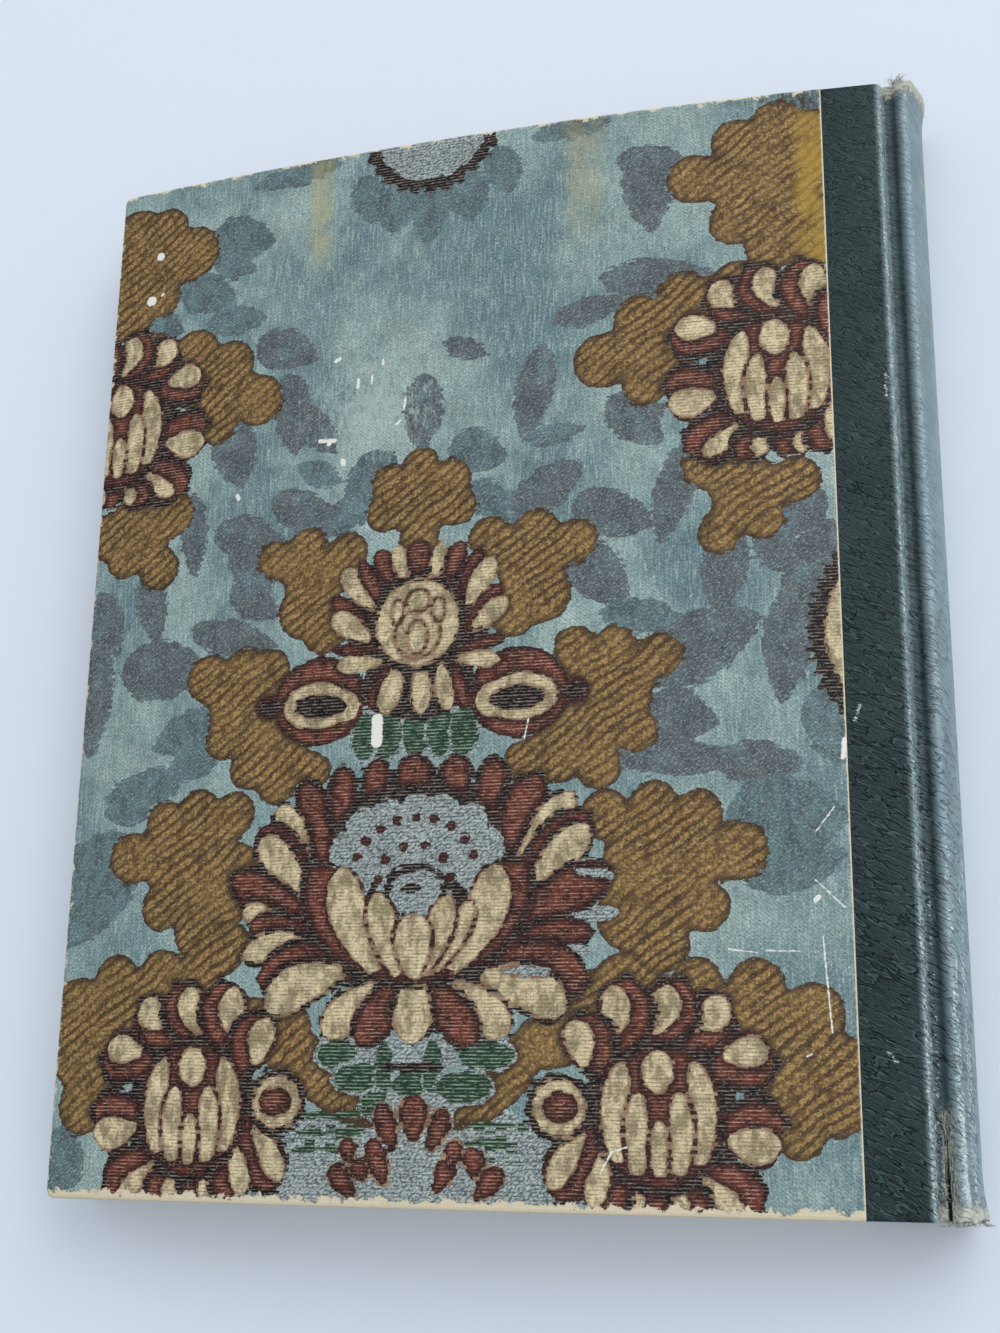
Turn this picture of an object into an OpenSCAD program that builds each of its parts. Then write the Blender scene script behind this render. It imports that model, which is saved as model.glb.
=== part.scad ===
// Quarter-bound hardback book, lying closed with its back cover up.
// X runs from the fore-edge to the spine, Y from tail to head, Z up.
// The origin is at the middle of the footprint, on the surface it lies on.

/* [Covers] */
// Height of the covers from tail to head
cover_h = 265; // [180:1:320]
// Width of a cover from the fore-edge to the edge beside the joint
cover_w = 205.2; // [140:0.1:240]
// Thickness of the grey board inside a cover
board_t = 2.4; // [1.6:0.1:3.2]
// Radius of a cover's corners at the fore-edge
corner_r = 2; // [1:0.1:4]
// Radius of the covered board edge beside the joint
edge_r = 1.8; // [1:0.1:2.2]
// How far the back cover arches up between its fore-edge and its joint
bow_rise = 5; // [2:0.1:6]

/* [Covering] */
// Thickness of the printed cover paper with its paste
paper_t = 0.5; // [0.45:0.05:0.7]
// Thickness of the leathercloth
cloth_t = 0.35; // [0.25:0.05:0.4]
// Width of leathercloth left bare on each board
cloth_w = 14.4; // [8:0.1:30]
// Width of leathercloth that runs on under the paper
lap = 4; // [2:0.5:8]
// Width of the covering turned in over the inside of the boards
turn_in = 15; // [10:0.5:20]

/* [Print] */
// How far the printed motifs stand up from the back cover's paper
raise = 0.15; // [0.06:0.01:0.2]
// Blank margin between the motifs and the edges of the paper
print_margin = 1.2; // [1:0.1:3]
// Radius of the large flower near the tail
lotus_r = 33; // [25:1:36]
// Radius of the round flower above it
round_r = 20; // [14:1:22]
// Radius of a small flower at the sides
side_r = 22; // [16:1:24]

/* [Pages] */
// Thickness of the pages at the joint
pages_t = 16.4; // [12:0.2:30]
// Distance from the cover's edge to the pages at head, tail and fore-edge
square_w = 3; // [2:0.5:5]
// How much thicker the pages are at the joint than at the fore-edge
swell = 3; // [0:0.1:5]
// How far the upper side of the pages arches up
pages_crown = 2; // [1:0.1:2]
// Depth of the hollow along the fore-edge
fore_hollow = 2.6; // [1:0.1:4]
// Thickness of the endpapers
end_t = 0.2; // [0.15:0.05:0.3]

/* [Spine] */
// Width of the joint from the cover's edge to the foot of the shoulder
joint_w = 3.2; // [3:0.1:6]
// Width of the sloping face of the shoulder
shoulder_w = 1.3; // [1:0.1:2]
// Height of the shoulder above the pages
shoulder_h = 2.1; // [1.5:0.1:2.4]
// How far the back of the pages is rounded
spine_round = 2.8; // [2:0.1:5]
// Thickness of the gauze lining glued to the back of the pages
lining_t = 0.25; // [0.15:0.05:0.4]
// Thickness of the card that stiffens the spine
inlay_t = 0.58; // [0.4:0.02:0.9]
// Width of a headband's bead, seen from the head
bead_w = 1.8; // [1.2:0.1:2.4]
// Height of a headband's bead above the pages
bead_h = 1.4; // [1:0.1:2]
// Length of headband tape glued down the back of the pages
tape_l = 12; // [8:1:16]

/* [Fit] */
// Gap between a closed cover and the flyleaf
cover_gap = 0.1; // [0.1:0.05:0.3]
// Gap between a cover and the spine's leathercloth in the joint
joint_gap = 0.3; // [0.3:0.05:0.5]
// Gap between the spine's lining and what lies over it
hollow_gap = 0.1; // [0.1:0.05:0.3]
// Gap between the inlay and the leathercloth over it
inlay_gap = 0.02; // [0.02:0.01:0.05]

/* [Hidden] */

// Heights at the joint, from the table up
front_inner_z = paper_t + board_t;
front_pages_z = front_inner_z + paper_t + end_t + cover_gap + end_t;
mid_z = front_pages_z + pages_t / 2;
back_inner_z = 2 * mid_z - front_inner_z;

// Places along X, from the fore-edge
paper_w = cover_w - cloth_w;
foot_x = cover_w + joint_w;
tip_x = foot_x + shoulder_w;
apex_x = tip_x + spine_round;
overall_w = apex_x + lining_t + hollow_gap + 2 * cloth_t + inlay_t + inlay_gap;
origin_x = overall_w / 2;

// Places along Y, from the middle of the book
cover_y = cover_h / 2;
board_y = cover_y - paper_t;
cloth_y = board_y + cloth_t;
pages_y = cover_y - square_w;
inset = square_w + end_t;

// Round back of the pages
tip_z = pages_t / 2 + shoulder_h;
back_r = (tip_z * tip_z + spine_round * spine_round) / (2 * spine_round);
back_x = apex_x - back_r;
root_x = cover_w - lap;
half_angle = asin(tip_z / back_r);
band_angle = half_angle - 2;

// Layers over the round back, measured from the pages
turn_gap = lining_t + hollow_gap;
inlay_in = turn_gap + cloth_t;
cloth_gap = inlay_in + inlay_t + inlay_gap;
skin_t = cloth_gap + cloth_t - turn_gap;

// How far a cut runs past what it cuts, and how far a cover's prism reaches
over = 1;
deep = 40;
// Number of strips that an arch is made of
bends = 24;
$fn = 180;

// Places of the motifs from the cover's middle: leaf clusters as x, y and
// turn, whole or cut by the sheet's edge, and the flowers
middle_x = 91.5;
leaves = [[12, 108, 20], [30, 70, 200], [9, 28, 290], [176, 107, 150], [152, 70, 150],
    [171, 28, 240], [91.5, 33, 90], [64, 14, 130], [119, 14, 50], [44, -18, 160],
    [138, -18, 20], [32, -54, 170], [150, -56, 10], [14, -90, 150], [176, -96, 30]];
flowers = [[4.5, 61.5], [178, 57.5], [38, -111.5], [148.5, -112]];

paper_colour = [0.44, 0.56, 0.58];
leaf_colour = [0.46, 0.36, 0.20];
flower_colour = [0.40, 0.19, 0.16];
cloth_colour = [0.17, 0.23, 0.24];
board_colour = [0.55, 0.52, 0.47];
pages_colour = [0.86, 0.81, 0.70];
end_colour = [0.83, 0.78, 0.68];
gauze_colour = [0.80, 0.78, 0.72];
band_colour = [0.75, 0.70, 0.58];
inlay_colour = [0.66, 0.60, 0.50];

// Height at x of an arch over the chord from -swell at the fore-edge to 0 at
// the joint. Every arched sheet bends along the same lines, so they lie close.
function arch_z(x, rise) = lookup(x, [for (k = [0 : bends]) let (s = k / bends)
    [s * cover_w, (1 - s) * (4 * rise * s - swell)]]);

// Points along an arch raised by h, from x0 to x1
function arch_line(x0, x1, rise, h) = let (
    inner = [for (k = [0 : bends]) let (x = k * cover_w / bends) if (x > x0 && x < x1) x]
) [for (x = concat([x0], inner, [x1])) [x, arch_z(x, rise) + h]];

function reversed(list) = [for (k = [len(list) - 1 : -1 : 0]) list[k]];

// Mirror image below height 0 of an outline's points, in the reverse order
function below(list) = reversed([for (q = list) [q[0], -q[1]]]);

// Section of an arched sheet, from height h0 to h1 over its arch
module arch_section(x0, x1, rise, h0, h1) {
    polygon(concat(arch_line(x0, x1, rise, h1), reversed(arch_line(x0, x1, rise, h0))));
}

// Section of one layer of a cover, from height h0 to h1 over the inside of
// its board, with its outer corner at x1 rounded
module layer_section(x0, x1, h0, h1, arched, r) {
    corner = [x1 - r, h1 - r + (arched ? arch_z(x1 - r, bow_rise) : 0)];
    difference() {
        if (arched) {
            arch_section(x0, x1, bow_rise, h0, h1);
        } else {
            translate([x0, h0]) square([x1 - x0, h1 - h0]);
        }
        if (r > 0) {
            difference() {
                translate(corner) square(r + over);
                translate(corner) circle(r);
            }
        }
    }
}

// Extrudes a section in X and Z along Y
module along_spine(y0, y1) {
    translate([0, y1, 0]) rotate([90, 0, 0]) linear_extrude(y1 - y0) children();
}

module cover_layer(x0, x1, y, h0, h1, arched, r = 0) {
    along_spine(-y, y) layer_section(x0, x1, h0, h1, arched, r);
}

// Prism over the outline of a cover, drawn in by d, with round fore-edge corners
module cover_plan(d) {
    r = corner_r - d;
    translate([0, 0, -deep]) linear_extrude(2 * deep) {
        translate([d + r, d - cover_y]) square([cover_w, cover_h - 2 * d]);
        translate([d, d + r - cover_y]) square([cover_w, cover_h - 2 * (d + r)]);
        for (side = [-1, 1]) translate([d + r, side * (cover_y - d - r)]) circle(r);
    }
}

// Space inside the turned-in covering, drawn in by d, from height h down
module inside_turn_ins(d, h, arched) {
    cover_layer(turn_in + d, cover_w + over, cover_y - turn_in - d, h - board_t, h, arched);
}

module board_solid(arched) {
    intersection() {
        cover_layer(paper_t, cover_w - cloth_t, board_y, 0, board_t, arched,
            edge_r - cloth_t);
        cover_plan(paper_t);
    }
}

module cover_paper_solid(arched) {
    difference() {
        intersection() {
            cover_layer(0, paper_w, cover_y, -paper_t, board_t + paper_t, arched);
            cover_plan(0);
        }
        board_solid(arched);
        cover_layer(paper_w - lap, cover_w, cloth_y, -cloth_t, board_t + cloth_t, arched);
        inside_turn_ins(0, 0, arched);
    }
}

// Oval petals of half width w on a ring from radius r0 to r1, the first at a0
module petal_ring(count, r0, r1, w, a0 = 0) {
    for (k = [0 : count - 1]) rotate(a0 + 360 * k / count) translate([(r0 + r1) / 2, 0])
        scale([(r1 - r0) / 2, w]) circle(1, $fn = 8);
}

// Leaf made of round lobes about a wide middle
module leaf_cluster() {
    circle(10, $fn = 10);
    for (turn = [-100 : 50 : 100]) rotate(turn) translate([11, 0]) circle(6, $fn = 8);
}

module lotus_flower() {
    petal_ring(16, lotus_r * 0.58, lotus_r, 4.6, 11.25);
    difference() {
        circle(lotus_r * 0.55, $fn = 20);
        translate([0, 3]) circle(lotus_r * 0.42, $fn = 20);
    }
    for (turn = [-50 : 25 : 50]) translate([0, -lotus_r * 0.36]) rotate(90 + turn)
        petal_ring(1, lotus_r * 0.1, lotus_r * 0.6, 2.8);
}

module round_flower() {
    petal_ring(14, round_r * 0.56, round_r, 2.8);
    circle(round_r * 0.5, $fn = 16);
}

module side_flower() {
    petal_ring(10, side_r * 0.62, side_r, 3.8, 18);
    difference() {
        scale([0.88, 1]) circle(side_r * 0.6, $fn = 16);
        for (x = [-8, 0, 8]) translate([x, 0]) scale([1.6, side_r * 0.4]) circle(1, $fn = 8);
    }
}

module leaf_plan() {
    for (place = leaves) translate([place[0], place[1]]) rotate(place[2]) leaf_cluster();
}

module flower_plan() {
    translate([middle_x, -64.5]) scale([1, 0.94]) lotus_flower();
    translate([middle_x, 1.5]) round_flower();
    for (side = [-1, 1]) translate([middle_x + side * 25, -17.5]) scale([12, 7]) circle(1, $fn = 12);
    for (place = flowers) translate(place) side_flower();
    translate([middle_x, cover_y]) circle(side_r - 4, $fn = 18);
}

// Motifs of the print, as a film raised by h over the arched paper
module print_relief(h) {
    intersection() {
        cover_layer(print_margin, paper_w - print_margin, cover_y - print_margin,
            board_t + paper_t - raise, board_t + paper_t + h, true);
        translate([0, 0, -deep]) linear_extrude(2 * deep) children();
    }
}

module cloth_strip_solid(arched) {
    difference() {
        cover_layer(paper_w - lap, cover_w, cloth_y, -cloth_t, board_t + cloth_t,
            arched, edge_r);
        board_solid(arched);
        inside_turn_ins(0, 0, arched);
    }
}

module pastedown_solid(arched) {
    x1 = cover_w - cloth_t - joint_gap;
    difference() {
        cover_layer(inset, x1, cover_y - inset, -paper_t - end_t, 0, arched);
        difference() {
            cover_layer(-over, cover_w + over, cover_y + over, -paper_t, over, arched);
            inside_turn_ins(0, 0, arched);
        }
        inside_turn_ins(end_t, -end_t, arched);
    }
}

// Places a piece of the upper or the lower cover, drawn with its board's
// inside at height 0 and its outside up
module back_side() {
    translate([-origin_x, 0, back_inner_z]) children();
}

module front_side() {
    translate([-origin_x, 0, front_inner_z]) mirror([0, 0, 1]) children();
}

// Places a section whose height 0 is the middle of the pages
module pages_side() {
    translate([-origin_x, 0, mid_z]) children();
}

// Section of the pages: arched on top, hollow along the fore-edge, round at
// the back with a shoulder on each side
module pages_section() {
    half = pages_t / 2;
    fore_t = pages_t + arch_z(square_w, pages_crown);
    hollow_r = (pow(fore_t / 2, 2) + pow(fore_hollow, 2)) / (2 * fore_hollow);
    ridge = 2 * [tip_x, tip_z] - [foot_x, half];
    shoulder = [ridge, [apex_x + over, ridge[1]]];
    difference() {
        polygon(concat(arch_line(square_w, foot_x, pages_crown, half), shoulder,
            below(shoulder), [[foot_x, -half], [square_w, -half]]));
        translate([square_w + fore_hollow - hollow_r, fore_t / 2 - half]) circle(hollow_r);
        difference() {
            translate([foot_x, -2 * tip_z]) square([overall_w - foot_x, 4 * tip_z]);
            translate([back_x, 0]) circle(back_r);
        }
    }
}

// Section of the back and shoulders of the pages, grown by g all round
module grown_spine(g) {
    slope = atan2(shoulder_h, shoulder_w);
    level = pages_t / 2 + g;
    tip = [tip_x, tip_z];
    upper = [
        [root_x, level],
        [foot_x - g * tan(slope / 2), level],
        tip + g * [-sin(slope), cos(slope)],
        tip,
        [back_x, 0] + (back_r + g + over) * [1, tan(half_angle)]
    ];
    intersection() {
        translate([back_x, 0]) circle(back_r + g);
        polygon(concat(upper, below(upper)));
    }
    for (side = [-1, 1]) translate([tip_x, side * tip_z]) circle(g);
}

// Section of a sheet that lies over the back and the shoulders
module spine_skin(gap, t) {
    x0 = cover_w + joint_gap;
    intersection() {
        difference() {
            grown_spine(gap + t);
            grown_spine(gap);
        }
        translate([x0, -2 * tip_z]) square([overall_w - x0 + over, 4 * tip_z]);
    }
}

// Section of the pocket that holds the inlay
module pocket_section() {
    reach = back_r + cloth_gap + over;
    wide = band_angle + 1;
    translate([back_x, 0]) intersection() {
        difference() {
            circle(back_r + cloth_gap);
            circle(back_r + inlay_in);
        }
        polygon([[0, 0], reach * [1, tan(wide)], reach * [1, -tan(wide)]]);
    }
}

// Turns a section in radius and Y round the axis of the back
module round_back(angle) {
    translate([back_x, 0, 0]) rotate([-90, 0, 0]) rotate([0, 0, -angle])
        rotate_extrude(angle = 2 * angle) children();
}

module headband() {
    bead_r = back_r + lining_t;
    round_back(band_angle) {
        translate([back_r, pages_y - tape_l]) square([lining_t, tape_l + bead_h / 2]);
        intersection() {
            translate([bead_r - bead_w / 2, pages_y]) scale([bead_w / 2, bead_h])
                circle(1, $fn = 12);
            translate([bead_r - bead_w, pages_y]) square([bead_w, bead_h]);
        }
    }
}

module text_block() {
    color(pages_colour) pages_side() along_spine(-pages_y, pages_y) pages_section();
}

module spine_lining() {
    color(gauze_colour) pages_side() round_back(band_angle)
        translate([back_r, tape_l + hollow_gap - pages_y])
            square([lining_t, 2 * (pages_y - tape_l - hollow_gap)]);
}

module headband_head() {
    color(band_colour) pages_side() headband();
}

module headband_tail() {
    color(band_colour) pages_side() mirror([0, 1, 0]) headband();
}

module back_flyleaf() {
    color(end_colour) pages_side() translate([0, 0, pages_t / 2])
        along_spine(-pages_y, pages_y)
            arch_section(square_w, foot_x - end_t, pages_crown, 0, end_t);
}

module front_flyleaf() {
    color(end_colour) pages_side() translate([square_w, -pages_y, -pages_t / 2 - end_t])
        cube([foot_x - end_t - square_w, 2 * pages_y, end_t]);
}

module spine_inlay() {
    color(inlay_colour) pages_side() round_back(band_angle)
        translate([back_r + inlay_in, -board_y]) square([inlay_t, 2 * board_y]);
}

module spine_cloth() {
    color(cloth_colour) pages_side() difference() {
        along_spine(-cloth_y, cloth_y) spine_skin(turn_gap, skin_t);
        along_spine(turn_in - cloth_y, cloth_y - turn_in) grown_spine(cloth_gap);
        along_spine(-board_y, board_y) pocket_section();
    }
}

module back_board() {
    color(board_colour) back_side() board_solid(true);
}

module back_cover_paper() {
    back_side() {
        color(paper_colour) cover_paper_solid(true);
        color(leaf_colour) print_relief(raise / 2) leaf_plan();
        color(flower_colour) print_relief(raise) flower_plan();
    }
}

module back_cloth_strip() {
    color(cloth_colour) back_side() cloth_strip_solid(true);
}

module back_pastedown() {
    color(end_colour) back_side() pastedown_solid(true);
}

module front_board() {
    color(board_colour) front_side() board_solid(false);
}

module front_cover_paper() {
    color(paper_colour) front_side() cover_paper_solid(false);
}

module front_cloth_strip() {
    color(cloth_colour) front_side() cloth_strip_solid(false);
}

module front_pastedown() {
    color(end_colour) front_side() pastedown_solid(false);
}

text_block();
spine_lining();
headband_head();
headband_tail();
back_flyleaf();
front_flyleaf();
spine_inlay();
spine_cloth();
back_board();
back_cover_paper();
back_cloth_strip();
back_pastedown();
front_board();
front_cover_paper();
front_cloth_strip();
front_pastedown();
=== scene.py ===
import math

import bpy
import numpy as np
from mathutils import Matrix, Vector


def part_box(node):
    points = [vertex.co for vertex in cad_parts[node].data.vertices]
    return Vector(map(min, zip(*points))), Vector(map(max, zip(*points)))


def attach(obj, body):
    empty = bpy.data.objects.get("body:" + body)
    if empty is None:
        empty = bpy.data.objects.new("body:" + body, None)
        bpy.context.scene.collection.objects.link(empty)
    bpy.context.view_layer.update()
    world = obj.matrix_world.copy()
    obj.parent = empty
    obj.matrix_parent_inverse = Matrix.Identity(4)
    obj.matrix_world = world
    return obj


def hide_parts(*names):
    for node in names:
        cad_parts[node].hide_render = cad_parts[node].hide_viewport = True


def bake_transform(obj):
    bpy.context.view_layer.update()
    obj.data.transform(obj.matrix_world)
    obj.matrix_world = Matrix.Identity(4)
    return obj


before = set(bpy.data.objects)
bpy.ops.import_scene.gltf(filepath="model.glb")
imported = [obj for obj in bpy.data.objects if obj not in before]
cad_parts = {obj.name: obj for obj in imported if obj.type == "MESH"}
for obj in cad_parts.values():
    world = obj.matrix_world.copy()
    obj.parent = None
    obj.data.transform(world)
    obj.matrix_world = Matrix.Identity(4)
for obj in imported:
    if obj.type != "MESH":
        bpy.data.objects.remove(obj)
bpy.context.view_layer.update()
print("frame loaded:", len(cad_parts), "nodes")

mm = 0.001
rng = np.random.default_rng(7)

# Places of the frame, in millimetres: x from the fore-edge, y from the tail, z from the table
paperLow, paperHigh = (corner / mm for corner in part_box("back_cover_paper"))
boardLow, boardHigh = (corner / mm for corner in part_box("front_board"))
stripLow, stripHigh = (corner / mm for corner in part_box("front_cloth_strip"))
spineLow, spineHigh = (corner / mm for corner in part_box("spine_cloth"))
foreX, tailY = paperLow.x, paperLow.y

cover = {
    "wide": stripHigh.x - foreX,
    "high": paperHigh.y - tailY,
    "paperWide": paperHigh.x - foreX,
    "boardThick": boardHigh.z - boardLow.z,
    "paperThick": boardLow.z,
    "clothThick": boardLow.z - stripLow.z,
    "bow": 5.0,  # how far the upper board arches up
    "swell": 3.0,  # how much higher the joint is than the fore-edge
    "cornerRound": 2.0,
    "edgeRound": 0.8,
    "jointEdgeRound": 1.8,
    "turnIn": 15.0,
    "cutEdge": (0.04, 0.4, 0.35),  # of the paper over the cloth: how far out, unrolled, and down
}
spine = {
    "jointWide": 3.2,
    "shoulderWide": 1.3,
    "shoulderHigh": 2.1,
    "round": 2.8,  # how far the back of the pages stands out
    "pagesThick": 16.4,
    "layers": 1.65,  # inlay, cloth and hollow over the back of the pages
    "sheetThick": 1.3,  # turned-in end of the cloth with the inlay in it
    "clothInset": 0.15,
}
middleZ = (spineLow.z + spineHigh.z) / 2
frontInnerZ = boardHigh.z
backInnerZ = 2 * middleZ - frontInnerZ


def toFrame(x, y, z):
    x, y, z = np.broadcast_arrays(x, y, z)
    return np.stack([foreX + x, tailY + y, z], -1).reshape(-1, 3) * mm


def archAt(x, bow=cover["bow"]):
    # height of the bowed upper board, or of the pages, over its level at the joint
    s = np.clip(x / cover["wide"], 0, 1)
    return (1 - s) * (4 * bow * s - cover["swell"])


# Meshes

def makeMesh(name, points, quads, material, smooth=True):
    mesh = bpy.data.meshes.new(name)
    quads = np.asarray(quads, np.int32).reshape(-1, 4)
    mesh.vertices.add(len(points))
    mesh.vertices.foreach_set("co", np.asarray(points, np.float32).ravel())
    mesh.loops.add(quads.size)
    mesh.loops.foreach_set("vertex_index", quads.ravel())
    mesh.polygons.add(len(quads))
    mesh.polygons.foreach_set("loop_start", np.arange(0, quads.size, 4, dtype=np.int32))
    mesh.polygons.foreach_set("loop_total", np.full(len(quads), 4, np.int32))
    mesh.polygons.foreach_set("use_smooth", np.full(len(quads), smooth))
    mesh.update(calc_edges=True)
    mesh.validate()
    mesh.materials.append(material)
    piece = bpy.data.objects.new(name, mesh)
    bpy.context.scene.collection.objects.link(piece)
    return piece


def cells(index):
    # the four-sided faces between the rows and columns of a table of points
    return np.stack([index[:-1, :-1], index[:-1, 1:], index[1:, 1:], index[1:, :-1]], -1).reshape(-1, 4)


def gridQuads(rows, columns, first=0, flip=False):
    quads = cells(first + np.arange(rows * columns).reshape(rows, columns))
    return quads[:, ::-1] if flip else quads


def storeNumbers(piece, name, a, b, c):
    # three numbers at each of the mesh's points
    layer = piece.data.attributes.new(name, "FLOAT_VECTOR", "POINT")
    layer.data.foreach_set("vector", np.stack([a, b, c], -1).astype(np.float32).ravel())


def storeMap(piece, u, v):
    layer = piece.data.uv_layers.new(name="OFBake")
    corners = np.zeros(len(piece.data.loops), np.int32)
    piece.data.loops.foreach_get("vertex_index", corners)
    layer.data.foreach_set("uv", np.stack([u[corners], v[corners]], -1).astype(np.float32).ravel())


# Shader nodes

class Wire:
    # a value in a shader's tree, worked with by the usual signs of arithmetic
    def __init__(self, socket):
        self.socket = socket

    def __add__(self, other):
        return calc("ADD", self, other)

    def __sub__(self, other):
        return calc("SUBTRACT", self, other)

    def __rsub__(self, other):
        return calc("SUBTRACT", other, self)

    def __mul__(self, other):
        return calc("MULTIPLY", self, other)

    def __truediv__(self, other):
        return calc("DIVIDE", self, other)

    def __abs__(self):
        return calc("ABSOLUTE", self)


def tint(red, green, blue):
    # a colour given as it looks on a screen, 0 to 255
    values = [c / 255 for c in (red, green, blue)]
    return [c / 12.92 if c <= 0.04045 else ((c + 0.055) / 1.055) ** 2.4 for c in values] + [1.0]


def tints(values):
    return {key: tint(*value) for key, value in values.items() if isinstance(value, tuple)}


def join(value, made, key):
    made.id_data.links.new(value.socket, made.inputs[key])


def put(kind, inputs, output=0, tree=None, **settings):
    # a new node in the given tree, or in the tree of what feeds it
    if tree is None:
        tree = next(value.socket.id_data for value in inputs.values() if isinstance(value, Wire))
    made = tree.nodes.new(kind)
    for key, value in settings.items():
        setattr(made, key, value)
    for key, value in inputs.items():
        if isinstance(value, Wire):
            join(value, made, key)
        else:
            made.inputs[key].default_value = value
    return Wire(made.outputs[output])


def calc(how, a, b=0.0, c=0.0):
    return put("ShaderNodeMath", {0: a, 1: b, 2: c}, operation=how)


def highest(first, *others):
    for other in others:
        first = calc("MAXIMUM", first, other)
    return first


def lowest(first, *others):
    for other in others:
        first = calc("MINIMUM", first, other)
    return first


def vector(how, a, b=(0, 0, 0), output=0, scale=1.0):
    return put("ShaderNodeVectorMath", {0: a, 1: b, 3: scale}, output, operation=how)


def blendOf(amount, a, b, how="MIX"):
    return put("ShaderNodeMix", {0: amount, 6: a, 7: b}, 2, data_type="RGBA", blend_type=how, clamp_factor=True)


def between(value, low, high, out0=0.0, out1=1.0, curve="SMOOTHSTEP"):
    return put("ShaderNodeMapRange", {0: value, 1: low, 2: high, 3: out0, 4: out1}, interpolation_type=curve,
               clamp=True)


def stretched(place, sizes, turn=0.0):
    # one unit of the result is a size in millimetres along each turned axis
    return put("ShaderNodeMapping", {0: place, 2: (0, 0, math.radians(turn)), 3: sizes}, vector_type="TEXTURE")


def noise(place, size, detail=2.0, rough=0.5, wide=(1, 1, 1), turn=0.0):
    # soft noise with features of a size in millimetres
    sizes = [size * w for w in wide]
    return put("ShaderNodeTexNoise", {"Vector": stretched(place, sizes, turn), "Scale": 1.0, "Detail": detail,
                                      "Roughness": rough})


def stored(tree, name):
    return put("ShaderNodeAttribute", {}, 1, tree, attribute_name=name)


def parts(value):
    made = put("ShaderNodeSeparateXYZ", {0: value}).socket.node
    return [Wire(socket) for socket in made.outputs]


def newMaterial(name, rough, specular):
    material = bpy.data.materials.new(name)
    material.use_nodes = True
    shader = material.node_tree.nodes["Principled BSDF"]
    shader.inputs["Roughness"].default_value = rough
    shader.inputs["Specular IOR Level"].default_value = specular
    return material, material.node_tree, shader


def finishMaterial(shader, colour, height, depth, rough=None):
    # height runs from 0 to 1, depth is in millimetres
    join(colour, shader, "Base Color")
    join(put("ShaderNodeBump", {"Strength": 1.0, "Distance": depth * mm, "Height": height}), shader, "Normal")
    if rough is not None:
        join(rough, shader, "Roughness")


# The print, drawn in millimetres on the flat sheet. Each ink is a field of distances to its edge.

inkNames = ["field", "shadeTeal", "shadeMauve", "ochre", "dark", "burgundy", "cream", "paleBlue", "green"]
inkLayers = ["inkA", "inkB", "inkC"]  # each holds three of the inks
outOfReach = 60.0
storedReach = 6.0  # the distances kept with the mesh go this far


def blankPrint(x, y):
    ink = {name: np.full(x.shape, outOfReach) for name in inkNames}
    ink["field"] = np.full(x.shape, -outOfReach)
    return {"x": x, "y": y, "ink": ink}


def lay(sheet, name, dist):
    for other in inkNames:
        if other != name:
            sheet["ink"][other] = np.maximum(sheet["ink"][other], -dist)
    sheet["ink"][name] = np.minimum(sheet["ink"][name], dist)


def oval(sheet, cx, cy, rx, ry=None):
    ry = ry or rx
    u, v = sheet["x"] - cx, sheet["y"] - cy
    reach = np.sqrt((u / rx) ** 2 + (v / ry) ** 2)
    slope = np.sqrt((u / rx ** 2) ** 2 + (v / ry ** 2) ** 2)
    return np.where(reach > 0.3, reach * (reach - 1) / np.maximum(slope, 1e-6), -0.7 * min(rx, ry))


def beside(sheet, x0, y0, x1, y1):
    # how far each place is along a line, as a share of it, how far to its left and how far past its ends
    length = math.hypot(x1 - x0, y1 - y0)
    ux, uy = (x1 - x0) / length, (y1 - y0) / length
    px, py = sheet["x"] - x0, sheet["y"] - y0
    along = (px * ux + py * uy) / length
    return along, py * ux - px * uy, np.maximum(-along, along - 1) * length


def petal(sheet, x0, y0, x1, y1, wide, bend=0, widest=0.62, foot=0.3):
    # from the foot to the tip, half width, sideways bulge
    along, across, past = beside(sheet, x0, y0, x1, y1)
    t = np.clip(along, 0, 1)
    across = across - bend * 4 * t * (1 - t)
    rise = np.where(t < widest, foot + (1 - foot) * np.sin(0.5 * math.pi * t / widest),
                    np.sqrt(np.clip(1 - ((t - widest) / (1 - widest)) ** 2, 0, 1)))
    side = np.abs(across) - wide * rise
    return np.where(past > 0, np.hypot(past, np.maximum(side, 0)), side)


def edged(sheet, name, shape, rim, rimName):
    # a shape with a rim of another ink
    lay(sheet, rimName, shape - rim)
    lay(sheet, name, shape)


def together(*dists):
    return np.minimum.reduce(dists)


def melted(dists, soft):
    # shapes together, with the notches between them filled
    out = dists[0]
    for d in dists[1:]:
        near = np.maximum(soft - np.abs(out - d), 0) / soft
        out = np.minimum(out, d) - near * near * soft / 4
    return out


def ovals(sheet, spots):
    return together(*[oval(sheet, *spot) for spot in spots])


def blade(sheet, x0, y0, x1, y1, wide):
    # lens with a point at both ends
    along, across, past = beside(sheet, x0, y0, x1, y1)
    side = np.abs(across) - wide * np.sin(math.pi * np.clip(along, 0, 1) ** 0.8) ** 0.7
    return np.maximum(side, past)


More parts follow.
